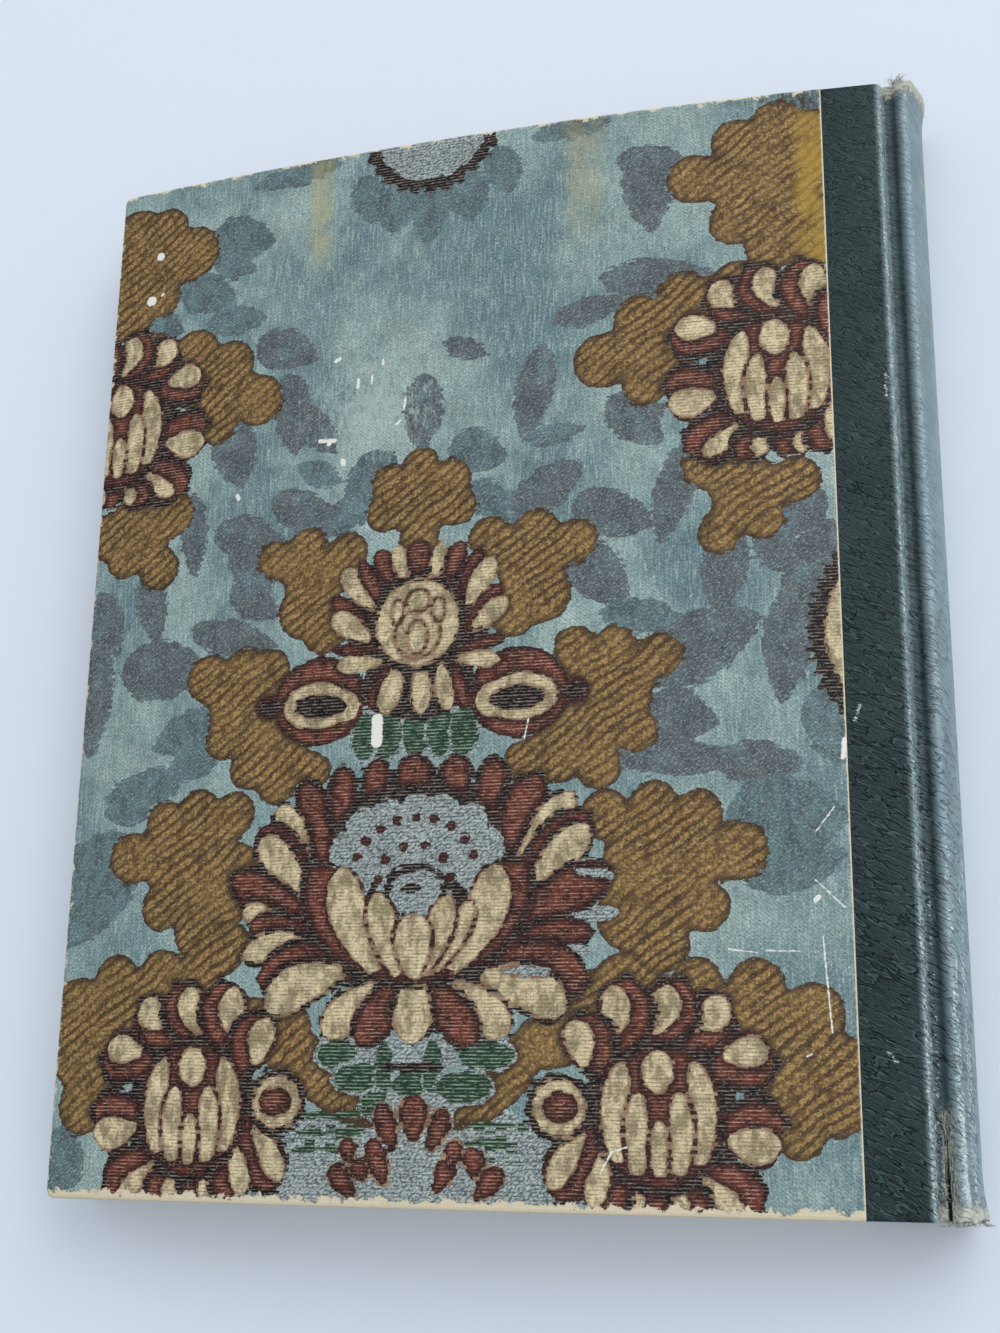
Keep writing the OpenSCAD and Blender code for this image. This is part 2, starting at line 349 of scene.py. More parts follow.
# lobes of the ochre leaves: x, y, radius
ochreLeaves = [
    [(5, 251, 9), (14.5, 252, 6.5), (23, 243.5, 8), (14, 232, 6), (8, 241, 11), (4, 228, 8)],
    [(13, 216, 6), (26, 213.5, 7), (37, 209, 6.5), (45.5, 197.5, 7), (34, 192.5, 5.5), (31, 203, 9)],
    [(22, 169, 6.5), (19.5, 154.5, 5.5), (9, 158.5, 5.5), (2, 165, 6), (12, 167, 9)],
    [(180, 256, 6.5), (170, 252.5, 6), (159.5, 243.5, 6.5), (169, 230.5, 6), (178, 223.5, 6.5), (176, 241, 12),
     (188, 247, 12), (188, 226, 9)],
    [(136.5, 197, 7), (146, 207, 6.5), (156.5, 212, 6.5), (170, 213, 7), (147, 190, 5.5), (152, 200, 8),
     (163, 205, 9)],
    [(161, 168, 5.5), (164, 151, 5), (174, 154, 5), (182, 163, 5.5), (170, 162, 8)],
    [(91, 174.5, 4.5), (83, 170.5, 4.8), (99, 170.5, 4.8), (82, 163, 5), (100.5, 163, 5), (91, 164, 8),
     (91, 154, 5)],
    [(53, 153.5, 5), (61.5, 155.5, 5.3), (72.5, 153.5, 5), (64, 147, 8), (61, 139, 6.5), (67, 134, 6)],
    [(109, 154, 5.3), (120.5, 154, 6), (130, 151.5, 5.3), (119, 146, 8), (122, 139, 7), (115, 135, 6)],
    [(36, 124, 6), (46, 125.5, 5.5), (53, 125, 5), (41, 108, 4.6), (48.5, 100.5, 5), (46, 114, 9),
     (56, 97, 5.5), (66, 99, 4)],
    [(17.5, 80, 6.2), (26.5, 88, 5.5), (35.5, 90.5, 5.5), (45, 89.5, 5.5), (27, 67.5, 5.5), (36.5, 61, 5.5),
     (34, 78, 12), (45, 73, 10)],
    [(15.5, 50.5, 5.8), (28, 51.5, 6), (5, 43, 8), (9, 35, 11), (8.5, 21, 6.5), (33, 46, 7), (40, 52, 5),
     (60, 38, 8), (45, 58, 6)],
    [(150, 122.5, 5.2), (139.5, 125, 5), (130, 125.5, 5), (144, 105, 5.2), (135.5, 97, 5.2), (138, 114, 10),
     (126, 99, 5.5), (118, 99, 4.5)],
    [(167, 77, 6.3), (158, 85.5, 5.3), (148, 88, 5.2), (137, 86, 5.5), (159, 65, 5.5), (149.5, 56.5, 6),
     (148, 74, 12), (143, 63, 8)],
    [(157, 48.5, 5.3), (170, 47.5, 6), (182, 42, 6.2), (188, 28, 9), (178, 17.5, 5.5), (176, 34, 12),
     (186, 22, 5.5), (133, 46, 5), (124, 36, 6), (141, 49, 6)],
]

# woven shadow leaves, pointed: from the foot at x, y to the tip at x, y and half width
tealShadows = [
    (28, 247, 48, 243, 7), (30, 240, 43, 235, 4), (20, 233, 37, 228, 6), (11, 226, 22, 221, 4),
    (29, 222, 47, 221, 4.5), (66, 263, 40, 260, 3.5), (73, 258, 76, 243, 5), (84, 254, 81, 239, 6),
    (92, 252, 91, 235, 5), (100, 254, 103, 240, 6), (109, 260, 113, 246, 5),
    (84, 178, 71, 167, 6), (77, 168, 68, 159, 4.5),
    (98, 179, 113, 174, 6), (103, 168, 115, 159, 4.5), (40, 113, 21, 107, 6), (40, 105, 25, 100, 4.5),
    (30, 99, 8, 95, 5), (22, 92, 8, 92, 4), (16, 86, -4, 58, 11), (14, 66, -6, 84, 9), (8, 14, -4, 2, 8),
    (136, 133, 155, 131, 4.5), (164, 84, 191, 84, 10), (166, 73, 190, 76, 7), (186, 114, 189, 95, 6),
    (118, 178, 132, 180, 3), (118, 261, 140, 263, 3), (178, 260, 192, 257, 5), (58, 178, 70, 172, 3.5),
]
mauveShadows = [
    (44, 214, 62, 207, 6), (54, 204, 57, 181, 5.5), (57, 194, 68, 180, 4.5), (37, 193, 42, 174, 6.5),
    (91, 199, 91, 178, 5.5), (51, 170, 72, 159, 5.5), (35, 163, 56, 156, 6), (40, 159, 52, 145, 5),
    (41, 148, 54, 138, 5), (28, 174, 30, 151, 4), (16, 155, 20, 134, 4.5), (2, 150, 9, 132, 4.5),
    (30, 137, 54, 131, 4.5), (10, 128, 36, 126, 8), (0, 140, 3, 106, 7), (140, 251, 158, 249, 4.5),
    (147, 254, 149, 230, 6.5), (136, 219, 166, 216, 5.5), (124, 209, 143, 213, 4), (122, 203, 117, 178, 5),
    (138, 187, 151, 174, 5.5), (131, 171, 111, 157, 5.5), (129, 161, 149, 154, 6), (129, 151, 142, 135, 6.5),
    (157, 174, 150, 149, 5), (167, 152, 163, 132, 5.5), (175, 154, 178, 140, 5), (188, 160, 177, 149, 5),
    (190, 152, 180, 128, 7), (181, 138, 177, 110, 6), (145, 118, 173, 131, 8.5), (145, 110, 163, 106, 6.5),
    (138, 100, 168, 97, 4.5), (162, 97, 182, 96, 5), (141, 178, 152, 184, 3), (96, 207, 108, 202, 3),
]


def leaf(sheet, lobes):
    # round lobes, each joined to the middle of the leaf
    middleX, middleY = (sum(lobe[k] for lobe in lobes) / len(lobes) for k in (0, 1))
    dists = [oval(sheet, *lobe) for lobe in lobes]
    for x, y, radius in lobes:
        _, across, past = beside(sheet, middleX, middleY, x, y)
        dists.append(np.hypot(across, np.maximum(past, 0)) - radius * 0.85)
    lay(sheet, "ochre", melted(dists, 2.2))


# petals of the pomegranate flower about its middle: ink, foot, tip, half width, bulge
pomegranatePetals = [
    ("burgundy", -5, 15, -14.5, 24, 5.0, 1.5), ("cream", -8, 18.5, -14.5, 24.5, 3.0, 0.8),
    ("burgundy", 2.5, 15, -5.5, 28, 5.2, 1.4), ("cream", 1.2, 17, -2.6, 27.5, 2.8, 0.8),
    ("burgundy", 9.5, 12, 6.5, 28.5, 5.2, 1.2), ("cream", 11, 15, 9.4, 27.5, 2.8, 0.8),
    ("burgundy", 12.5, 8, 16.5, 21, 4.4, 0.8), ("cream", 16.2, 10, 18.8, 20, 2.8, 0.4),
    ("burgundy", 13, -2, 22, -17.5, 5.2, 0.6), ("cream", 16.5, -4, 23.8, -15.5, 2.4, 0.4),
    ("burgundy", -11, 9.5, -24.5, 11, 5.2, -0.8), ("cream", -14, 12.5, -23.5, 13.5, 2.8, -0.4),
    ("burgundy", -12.5, -1, -26, -1, 4.8, 0.8), ("cream", -14.5, -4.5, -25.5, -6, 3.2, 0.6),
    ("burgundy", -9, -10, -21, -18.5, 5.6, 0.8), ("cream", -9, -12.5, -17.5, -19.5, 2.0, 0.4),
    ("burgundy", -3, -14, -9.5, -20.5, 3.4, 0), ("cream", -3.5, -15, -4.8, -20.5, 1.8, 0),
    ("burgundy", 3, -14, 1, -20.5, 3.2, 0), ("cream", 5, -14.5, 5.5, -20.5, 1.9, 0),
    ("burgundy", 8, -12, 11, -20, 3.0, 0), ("cream", 11.8, -8, 14.5, -19, 2.2, 0),
]
pomegranateHeart = [
    (-8.2, -9.8, -7.6, 11.4, 3.0, -1.6), (8.4, -9.6, 7.8, 11.2, 3.1, 1.6), (-4.3, -11.8, -4.3, 5.0, 2.6, -0.5),
    (4.5, -11.8, 4.3, 5.0, 2.6, 0.5), (0.1, -12.4, 0, -1.0, 2.0, 0),
]


def pomegranate(sheet, cx, cy, flip, ring=True):
    lay(sheet, "dark", oval(sheet, cx, cy, 17, 18))
    for name, x0, y0, x1, y1, wide, bulge in pomegranatePetals:
        wide *= 1.2 if name == "cream" else 1.0
        shape = petal(sheet, cx + flip * x0, cy + y0, cx + flip * x1, cy + y1, wide, flip * bulge)
        edged(sheet, name, shape, *((1.4, "dark") if name == "burgundy" else (0.8, "burgundy")))
    if ring:
        lay(sheet, "dark", oval(sheet, cx + flip * 22, cy + 1.5, 7.4, 7.4))
        lay(sheet, "cream", oval(sheet, cx + flip * 22, cy + 1.5, 6, 6))
        lay(sheet, "burgundy", oval(sheet, cx + flip * 21.6, cy + 1.5, 4, 3.2))
    lay(sheet, "dark", oval(sheet, cx, cy - 0.5, 14, 16))
    lay(sheet, "burgundy", oval(sheet, cx, cy - 0.3, 12.8, 14.8))
    lay(sheet, "cream", oval(sheet, cx - 0.2, cy + 9.2, 3.6, 4.6))
    for x0, y0, x1, y1, wide, bulge in pomegranateHeart:
        shape = petal(sheet, cx + flip * x0, cy + y0, cx + flip * x1, cy + y1, wide, -flip * bulge, 0.55, 0.6)
        edged(sheet, "cream", shape, 0.7, "burgundy")


def lotus(sheet):
    lay(sheet, "dark", ovals(sheet, [(91.5, 78, 25, 19), (91.5, 62, 33, 13)]))
    # each petal: foot x and y, tip x and y, half width, bulge
    fingers = [(69.5, 77, 63.5, 96.5, 3.8, -1), (73, 84, 73.5, 99.5, 3.1, 0), (81, 90, 82.5, 101, 3, 0),
               (91.5, 89.5, 91.5, 101.5, 4.2, 0), (102, 90, 101.5, 101, 3.5, 0), (109.5, 84, 111, 100, 3.4, 0),
               (114, 78, 121.5, 95.5, 4.3, 1)]
    for line in fingers:
        edged(sheet, "burgundy", petal(sheet, *line), 1.1, "dark")
    sides = [("cream", 65, 75, 57.5, 91, 3.9, 0), ("burgundy", 66, 71, 52.5, 85.5, 5.2, 0),
             ("cream", 65, 69, 53, 83.5, 4.0, 0), ("burgundy", 67, 63, 45.5, 74.5, 4.4, 0),
             ("cream", 62, 61.5, 49, 66.5, 3.0, 0), ("burgundy", 72, 55, 51, 63, 4.2, -1),
             ("cream", 68, 57.5, 49.5, 55.5, 3.4, -1.5), ("burgundy", 78, 51.5, 54, 50, 5.8, -2),
             ("cream", 75, 51.5, 56, 43.5, 5.0, -1.5), ("cream", 84, 48.5, 71, 37.5, 4.4, 0),
             ("cream", 117.5, 76, 129.5, 91, 3.9, 0), ("burgundy", 118, 72, 133, 86, 5.0, 0),
             ("cream", 120, 69.5, 133, 83.5, 4.0, 0), ("burgundy", 117, 63, 138, 73.5, 4.8, 0),
             ("paleBlue", 127, 62.5, 140, 64, 1.8, 0), ("paleBlue", 130, 73.5, 139, 72, 1.2, 0),
             ("cream", 113, 59, 131, 59, 1.6, 0), ("burgundy", 112, 54, 134, 60, 3.6, 1.5),
             ("paleBlue", 118, 56.5, 134, 55.5, 1.7, 0), ("burgundy", 108, 51, 133, 49, 6.0, 2),
             ("cream", 109, 50.5, 128, 42.5, 5.0, 1.5), ("paleBlue", 113, 51.5, 125, 51, 1.3, 0),
             ("cream", 102, 49, 115, 37.5, 4.4, 0),
             ("burgundy", 91, 50.5, 79.5, 35.5, 4.4, 0), ("burgundy", 94, 50.5, 107.5, 35.5, 4.4, 0),
             ("cream", 92.5, 51, 92.5, 35.5, 4.5, 0)]
    for name, *line in sides:
        shape = petal(sheet, *line)
        if name != "paleBlue":
            lay(sheet, "dark", shape - 0.8)
        lay(sheet, name, shape)
    # cup of the flower, then the rosette in it
    cup = np.maximum(oval(sheet, 92.3, 71, 27.5, 22), sheet["y"] - 76)
    edged(sheet, "burgundy", cup, 1.2, "dark")
    lay(sheet, "dark", ovals(sheet, [(92, 81, 21, 13.5), (92, 70, 14, 9)]))
    rosette = ovals(sheet, [(92, 79, 15, 10), (75.5, 79.5, 4.6), (79.5, 84.5, 4.8), (85.5, 87, 4.4),
                            (92, 88, 4.4), (98.5, 87.4, 4.4), (105, 84.5, 4.8), (109, 79.5, 4.6),
                            (106.5, 73, 4.2), (78, 73, 4.2), (92, 70, 9, 7)])
    lay(sheet, "paleBlue", rosette)
    for radius, first, last, count in ((15.5, 22, 158, 9), (8.8, 0, 180, 6)):
        for k in range(count):
            turn = math.radians(first + (last - first) * k / (count - 1))
            cx, cy = 92 + radius * math.cos(turn), 72.5 + radius * 0.92 * math.sin(turn)
            lay(sheet, "burgundy", oval(sheet, cx, cy, 1.25, 1.15))
    lay(sheet, "dark", oval(sheet, 92.5, 70.5, 7.8, 5.6))
    lay(sheet, "paleBlue", oval(sheet, 92.5, 69.3, 6.2, 4.9))
    lay(sheet, "dark", oval(sheet, 91.5, 70.3, 2.4, 0.9))
    for line in [(83, 51.5, 73.5, 75.5, 4.8, 1.6), (101.5, 51.5, 112.5, 75, 5.0, -1.6),
                 (88.5, 50.5, 82.8, 69.5, 3.5, 0.4), (97, 51, 106, 67, 2.6, -0.5),
                 (94.5, 50.5, 100.5, 68.5, 3.3, -0.4), (92.5, 49.8, 92, 64.5, 4.5, 0)]:
        edged(sheet, "cream", petal(sheet, *line, widest=0.66), 0.7, "burgundy")


def roundFlower(sheet):
    lay(sheet, "dark", oval(sheet, 91.3, 136, 19, 16))
    lay(sheet, "dark", oval(sheet, 91.5, 119, 14.5, 9))
    petals = [("burgundy", 80, 131, 68.8, 142, 2.6, 0), ("cream", 79, 130.5, 69, 137.5, 3.0, 0),
              ("cream", 80, 138.5, 71.5, 149, 3.2, 0), ("burgundy", 82, 139, 75.8, 151, 2.3, 0),
              ("burgundy", 84.5, 144, 80.5, 153.5, 2.7, 0), ("cream", 87.5, 145, 85.5, 154, 2.4, 0),
              ("burgundy", 91, 146, 91, 154.8, 3.3, 0), ("cream", 95, 145, 97, 154, 2.0, 0),
              ("burgundy", 98.5, 144, 102, 153.8, 2.6, 0), ("burgundy", 101.5, 139, 107, 151.5, 2.4, 0),
              ("cream", 103.5, 137.5, 110, 149, 2.9, 0), ("burgundy", 102.5, 130.5, 112, 142, 2.5, 0),
              ("cream", 105, 131.5, 113.5, 138.5, 2.6, 0), ("burgundy", 82, 128, 69, 128.6, 1.5, 0),
              ("cream", 82, 125, 70.5, 124.5, 2.5, 0), ("burgundy", 101, 126.5, 113.5, 129, 1.7, 0),
              ("cream", 101, 124.5, 112, 123.5, 2.1, 0),
              ("burgundy", 84, 124, 79.5, 113, 2.0, 0), ("cream", 87, 124, 83, 112, 3.0, 0),
              ("cream", 92.5, 124, 92.5, 111.5, 2.6, 0), ("cream", 97, 124, 99.5, 112, 2.4, 0),
              ("burgundy", 100.5, 123, 104, 112, 2.0, 0)]
    for name, *line in petals:
        lay(sheet, name, petal(sheet, *line))
    lay(sheet, "dark", oval(sheet, 91.2, 134, 12, 12.2))
    lay(sheet, "cream", oval(sheet, 91.2, 134, 10.6, 10.8))
    for cx, cy, rx, ry in ((91.2, 139.5, 3, 3), (86, 137, 1.6, 3.2), (96.4, 137, 1.6, 3.2),
                           (91.2, 130.5, 2.6, 4.2), (91.2, 131.2, 5.8, 6)):
        lay(sheet, "ochre", np.abs(oval(sheet, cx, cy, rx, ry)) - 0.28)


def birdEye(sheet, cx, cy, flip):
    lay(sheet, "burgundy", together(oval(sheet, cx, cy + 1, 12, 11),
                                    petal(sheet, cx - flip * 8, cy, cx - flip * 17, cy + 1, 3, 0)))
    lay(sheet, "dark", petal(sheet, cx - flip * 10, cy + 0.5, cx - flip * 16, cy + 0.5, 1.8, 0))
    lay(sheet, "cream", together(oval(sheet, cx - flip * 0.5, cy, 9, 5.8),
                                 petal(sheet, cx, cy, cx + flip * 10.5, cy - 1, 4, 0)))
    lay(sheet, "dark", petal(sheet, cx - flip * 6, cy, cx + flip * 7, cy - 0.5, 2.9, 0, 0.4, 0.5))


def calyx(sheet, cx, cy, rx, ry):
    edged(sheet, "green", oval(sheet, cx, cy, rx, ry), 0.7, "paleBlue")


def lowerBed(sheet):
    lay(sheet, "paleBlue", ovals(sheet, [(93, 4, 36, 22), (93, 34, 24, 3.4)]))
    lay(sheet, "ochre", together(petal(sheet, 62, 38, 84, 18, 5.5, -1.5, 0.4, 0.8),
                                 petal(sheet, 122, 38, 103, 17.5, 5, 1.5, 0.4, 0.8)))
    for y in range(12, 21):
        lay(sheet, "green", together(oval(sheet, 72 + (y % 3), y, 8 - (y % 2) * 2, 0.28),
                                     oval(sheet, 113 - (y % 2), y - 1.5, 8 - (y % 3), 0.28)))
    for lobe in ((74.5, 33, 5, 3), (80, 28, 6, 3.2), (86, 30, 2, 6), (92.5, 26.5, 4.2, 3), (97.5, 30.5, 2.2, 6),
                 (110, 33, 6.5, 3.2), (105, 26, 6.5, 3.4), (84, 22, 3.2, 3)):
        calyx(sheet, *lobe)
    lay(sheet, "dark", oval(sheet, 93, 30.3, 8.5, 0.9))
    lay(sheet, "paleBlue", oval(sheet, 93.5, 8, 7.5, 8.5))
    for line in [(93.5, 14.5, 93.5, 24.5, 3.3), (88.8, 12.5, 85.3, 22.3, 2.5), (97.5, 12.5, 100.8, 21.5, 2.4),
                 (87, 5, 83.6, 14.8, 2.5), (78.5, 9.5, 77.8, 14.8, 2.1), (79.8, 2.5, 74, 8.8, 2.6),
                 (82.5, 6, 79.5, 10, 2), (99, 4, 102.6, 11, 2.4), (103, 9.5, 103, 14.8, 2.2),
                 (110, 6, 106.3, 13.3, 2.5), (108, 2.5, 114, 9, 2.6)]:
        edged(sheet, "burgundy", petal(sheet, *line), 0.45, "cream")


def toothed(sheet, cx, cy, rx, ry, depth, teeth):
    return oval(sheet, cx, cy, rx, ry) + depth * np.cos(np.arctan2(sheet["y"] - cy, sheet["x"] - cx) * teeth)


def cutFlowers(sheet):
    # the flower cut off by the head edge, and the one cut off by the leather
    lay(sheet, "dark", toothed(sheet, 91.5, 268, 18.5, 18, 0.8, 26))
    lay(sheet, "paleBlue", oval(sheet, 91.5, 268, 15, 14.5))
    lay(sheet, "dark", toothed(sheet, 197, 126, 13.5, 21, 0.9, 34))
    lay(sheet, "cream", oval(sheet, 198, 126, 11, 17))


def drawPrint(sheet):
    for name, blades in (("shadeMauve", mauveShadows), ("shadeTeal", tealShadows)):
        for points in blades:
            lay(sheet, name, blade(sheet, *points))
    for lobes in ochreLeaves:
        leaf(sheet, lobes)
    cutFlowers(sheet)
    lowerBed(sheet)
    pomegranate(sheet, 4.5, 194, -1, ring=False)
    pomegranate(sheet, 178, 190, 1, ring=False)
    pomegranate(sheet, 38, 21, 1)
    pomegranate(sheet, 148.5, 20.5, -1)
    for cx in (78.5, 84.5, 91.5, 97.5, 103.5):
        calyx(sheet, cx, 107, 3.2, 6)
    birdEye(sheet, 66.5, 115, 1)
    birdEye(sheet, 116.5, 114.5, -1)
    roundFlower(sheet)
    lotus(sheet)


# Cover papers

def coverGrid(step):
    # flat points of a cover's face, drawn in by the edge's rounding, with round fore-edge corners
    inset = cover["edgeRound"]
    xs = np.linspace(inset, cover["paperWide"], round((cover["paperWide"] - inset) / step) + 1)
    ys = np.linspace(inset, cover["high"] - inset, round((cover["high"] - 2 * inset) / step) + 1)
    x, y = np.meshgrid(xs, ys)
    radius = cover["cornerRound"] - inset
    centreX = cover["cornerRound"]
    for centreY, side in ((cover["cornerRound"], -1), (cover["high"] - cover["cornerRound"], 1)):
        a = (centreX - x) / radius
        b = side * (y - centreY) / radius
        corner = (a > 0) & (b > 0)
        x = np.where(corner, centreX - radius * a * np.sqrt(1 - np.clip(b, 0, 1) ** 2 / 2), x)
        y = np.where(corner, centreY + side * radius * b * np.sqrt(1 - np.clip(a, 0, 1) ** 2 / 2), y)
    return x, y


def coverPaper(name, node, body, material, step, upper):
    x, y = coverGrid(step)
    rows, columns = x.shape
    inset, high = cover["edgeRound"], cover["high"]
    thick = cover["boardThick"] + 2 * cover["paperThick"]
    count = rows * columns
    index = np.arange(count).reshape(rows, columns)
    # the rim runs from the spine side along the tail, up the fore-edge and back along the head
    rim = np.concatenate([index[0, ::-1], index[1:, 0], index[-1, 1:]])
    rimX, rimY = x.ravel()[rim], y.ravel()[rim]
    nearX = np.clip(rimX, cover["cornerRound"], None)
    nearY = np.clip(rimY, cover["cornerRound"], high - cover["cornerRound"])
    outX, outY = rimX - nearX, rimY - nearY
    straight = np.hypot(outX, outY)
    outX, outY = outX / straight, outY / straight
    # the rim's section goes over the upper rounding, down the edge and round under it
    turn = np.radians([22, 45, 68, 90])
    out = list(inset * np.sin(turn)) + [inset] * 3 + list(inset * np.sin(turn[::-1]))
    drop = list(inset * (1 - np.cos(turn))) + list(np.linspace(inset, thick - inset, 5)[1:4])
    drop += list(thick - inset * (1 - np.cos(turn[::-1])))
    steps = np.hypot(np.diff([0] + out), np.diff([0] + drop))
    along = np.cumsum(steps)
    flatX, flatY, placeX, placeY, depth = [x.ravel()], [y.ravel()], [x.ravel()], [y.ravel()], [np.zeros(count)]
    for reach, down, run in zip(out, drop, along):
        flatX.append(rimX + outX * reach)
        flatY.append(rimY + outY * reach)
        placeX.append(rimX + outX * run)
        placeY.append(rimY + outY * run)
        depth.append(np.full(len(rim), down))
    # the turned-in sheet, mitred at the corners
    innerX = np.clip(rimX, cover["turnIn"], None)
    innerY = np.clip(rimY, cover["turnIn"], high - cover["turnIn"])
    turnInSteps = (0.03, 0.3, 0.65, 1.0)
    for part in turnInSteps:
        flatX.append(rimX + (innerX - rimX) * part)
        flatY.append(rimY + (innerY - rimY) * part)
        placeX.append(rimX + outX * (along[-1] + inset + (cover["turnIn"] - inset) * part))
        placeY.append(rimY + outY * (along[-1] + inset + (cover["turnIn"] - inset) * part))
        depth.append(np.full(len(rim), thick))
    rimRows = len(out) + len(turnInSteps)
    quads = [gridQuads(rows, columns)]
    ring = np.concatenate([rim[None], count + np.arange(rimRows * len(rim)).reshape(rimRows, -1)])
    quads.append(np.stack([ring[:-1, 1:], ring[1:, 1:], ring[1:, :-1], ring[:-1, :-1]], -1).reshape(-1, 4))
    total = count + rimRows * len(rim)
    # the sheet's cut edge over the leathercloth
    quads.append(np.stack([index[:-1, -1], total + np.arange(rows - 1), total + np.arange(1, rows),
                           index[1:, -1]], -1))
    reach, run, down = cover["cutEdge"]
    flatX.append(np.full(rows, cover["paperWide"] + reach))
    flatY.append(y[:, -1])
    placeX.append(np.full(rows, cover["paperWide"] + run))
    placeY.append(y[:, -1])
    depth.append(np.full(rows, down))
    flatX, flatY, depth, placeX, placeY = map(np.concatenate, (flatX, flatY, depth, placeX, placeY))
    if upper:
        z = backInnerZ + cover["boardThick"] + cover["paperThick"] - depth + archAt(flatX)
    else:
        z = depth
    quads = np.concatenate(quads)
    piece = makeMesh(name, toFrame(flatX, flatY, z), quads if upper else quads[:, ::-1], material)
    storeNumbers(piece, "place", placeX, placeY, np.zeros_like(placeX))
    mapEdge, mapWide = 20, 310
    storeMap(piece, (placeX + mapEdge) / mapWide, (placeY + mapEdge) / mapWide)
    sheet = blankPrint(placeX, placeY)
    drawPrint(sheet)
    near = [np.clip(sheet["ink"][name], -storedReach, storedReach) for name in inkNames]
    for k, name in enumerate(inkLayers):
        storeNumbers(piece, name, *near[3 * k:3 * k + 3])
    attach(piece, body)
    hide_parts(node)
    print(name, "made:", len(piece.data.polygons), "faces")
    return piece


# look of the printed paper, screen colours
brocade = {
    "field": (134, 156, 154), "fieldDeep": (94, 120, 127), "fieldPale": (170, 184, 182),
    "fieldThread": (190, 202, 194), "fieldGap": (58, 82, 90),
    "shadeTeal": (90, 114, 117), "shadeMauve": (89, 98, 102), "shadeDark": (58, 66, 76),
    "shadeThread": (160, 172, 168),
    "ochre": (106, 83, 50), "ochreLight": (160, 130, 82), "ochreRib": (66, 48, 32), "ochreDeep": (56, 42, 34),
    "dark": (12, 9, 12), "darkThread": (142, 126, 116), "burgundy": (96, 46, 37), "burgundyDeep": (34, 16, 18),
    "burgundyThread": (182, 140, 120), "cream": (204, 188, 154), "creamShade": (122, 112, 84),
    "creamThread": (108, 90, 70), "creamRim": (116, 78, 62), "paleBlue": (168, 176, 173),
    "paleBlueThread": (58, 74, 82), "green": (26, 54, 38), "greenThread": (148, 164, 146),
    "speck": (200, 198, 182), "white": (226, 226, 220), "bareLow": (196, 180, 148), "bareHigh": (224, 216, 196),
    "stain": (176, 162, 104), "ochreGold": (176, 142, 58),
    "stitchHigh": 0.8,  # height of one row of stitches
    "stitchWide": 2.5,  # length of one stitch
    "ribGap": 2.3,  # between the ribs of the ochre leaves
}
# how far each ink's edge jumps from stitch to stitch
ragged = {"field": 0.5, "shadeTeal": 2.4, "shadeMauve": 2.4, "ochre": 0.8, "dark": 2.0, "burgundy": 1.1,
          "cream": 0.9, "paleBlue": 1.0, "green": 0.9}
# scratches and scuffs down to the white paper: from x, y to x, y and half width
scratches = [(13, 244.5, 13, 244.5, 1.2), (11, 231.5, 11.3, 231.5, 1.3), (14.3, 232.8, 14.6, 233, 0.4),
             (81.7, 105.3, 81.7, 110.7, 1.4), (136, 9, 138.3, 13, 0.2), (138.3, 13, 141.5, 14, 0.15),
             (183, 70.3, 189, 64.3, 0.12), (182.8, 65.8, 183.6, 66.6, 0.5), (183.3, 80.6, 187.5, 86, 0.12),
             (164, 55.6, 170, 54.8, 0.1), (172, 55.2, 179, 55, 0.12), (184.2, 58, 185.4, 38, 0.15),
             (189.9, 97, 190.3, 101, 0.5), (66, 183, 66.4, 183.4, 0.6), (41, 172, 41.3, 171, 0.5),
             (70, 178, 70.2, 177, 0.6), (63.5, 184, 67.5, 183.6, 0.5), (73.3, 197.5, 73.4, 199.5, 0.4),
             (77, 198, 77.2, 200, 0.3), (86, 190, 86.4, 193, 0.25), (84, 186, 85, 187, 0.3),
             (80, 203, 80, 204, 0.3), (67, 205.5, 68, 206, 0.5), (118, 104, 119, 109, 0.12),
             (180, 33, 181, 33.5, 0.15)]


def nearLine(place, x0, y0, x1, y1):
    # distance from a place of the sheet to a short line
    length = math.hypot(x1 - x0, y1 - y0)
    apart = vector("SUBTRACT", place, (x0, y0, 0))
    if length > 0.05:
        way = ((x1 - x0) / length, (y1 - y0) / length, 0)
        run = lowest(highest(vector("DOT_PRODUCT", apart, way, output=1), 0.0), length)
        apart = vector("SUBTRACT", apart, vector("SCALE", way, scale=run))
    return vector("LENGTH", apart, output=1)


def stitchCells(place, wide, high, shift):
    # random numbers that are constant over each stitch
    cell = vector("FLOOR", stretched(place, (wide, high, 1)))
    cell = vector("ADD", cell, (shift, 3 * shift, 7 * shift))
    return put("ShaderNodeTexWhiteNoise", {"Vector": cell}, output=1)


def nearest(place, marks):
    # distance to the nearest of the marks, each a short line with its half width
    return lowest(*[nearLine(place, *ends) - half for *ends, half in marks])


def linesAcross(value, gap, share):
    # 1 on lines that repeat every gap, each as wide as its share of it
    wave = calc("SINE", value * (2 * math.pi / gap))
    edge = math.cos(math.pi * share)
    return between(wave, edge - 0.25, edge + 0.25)


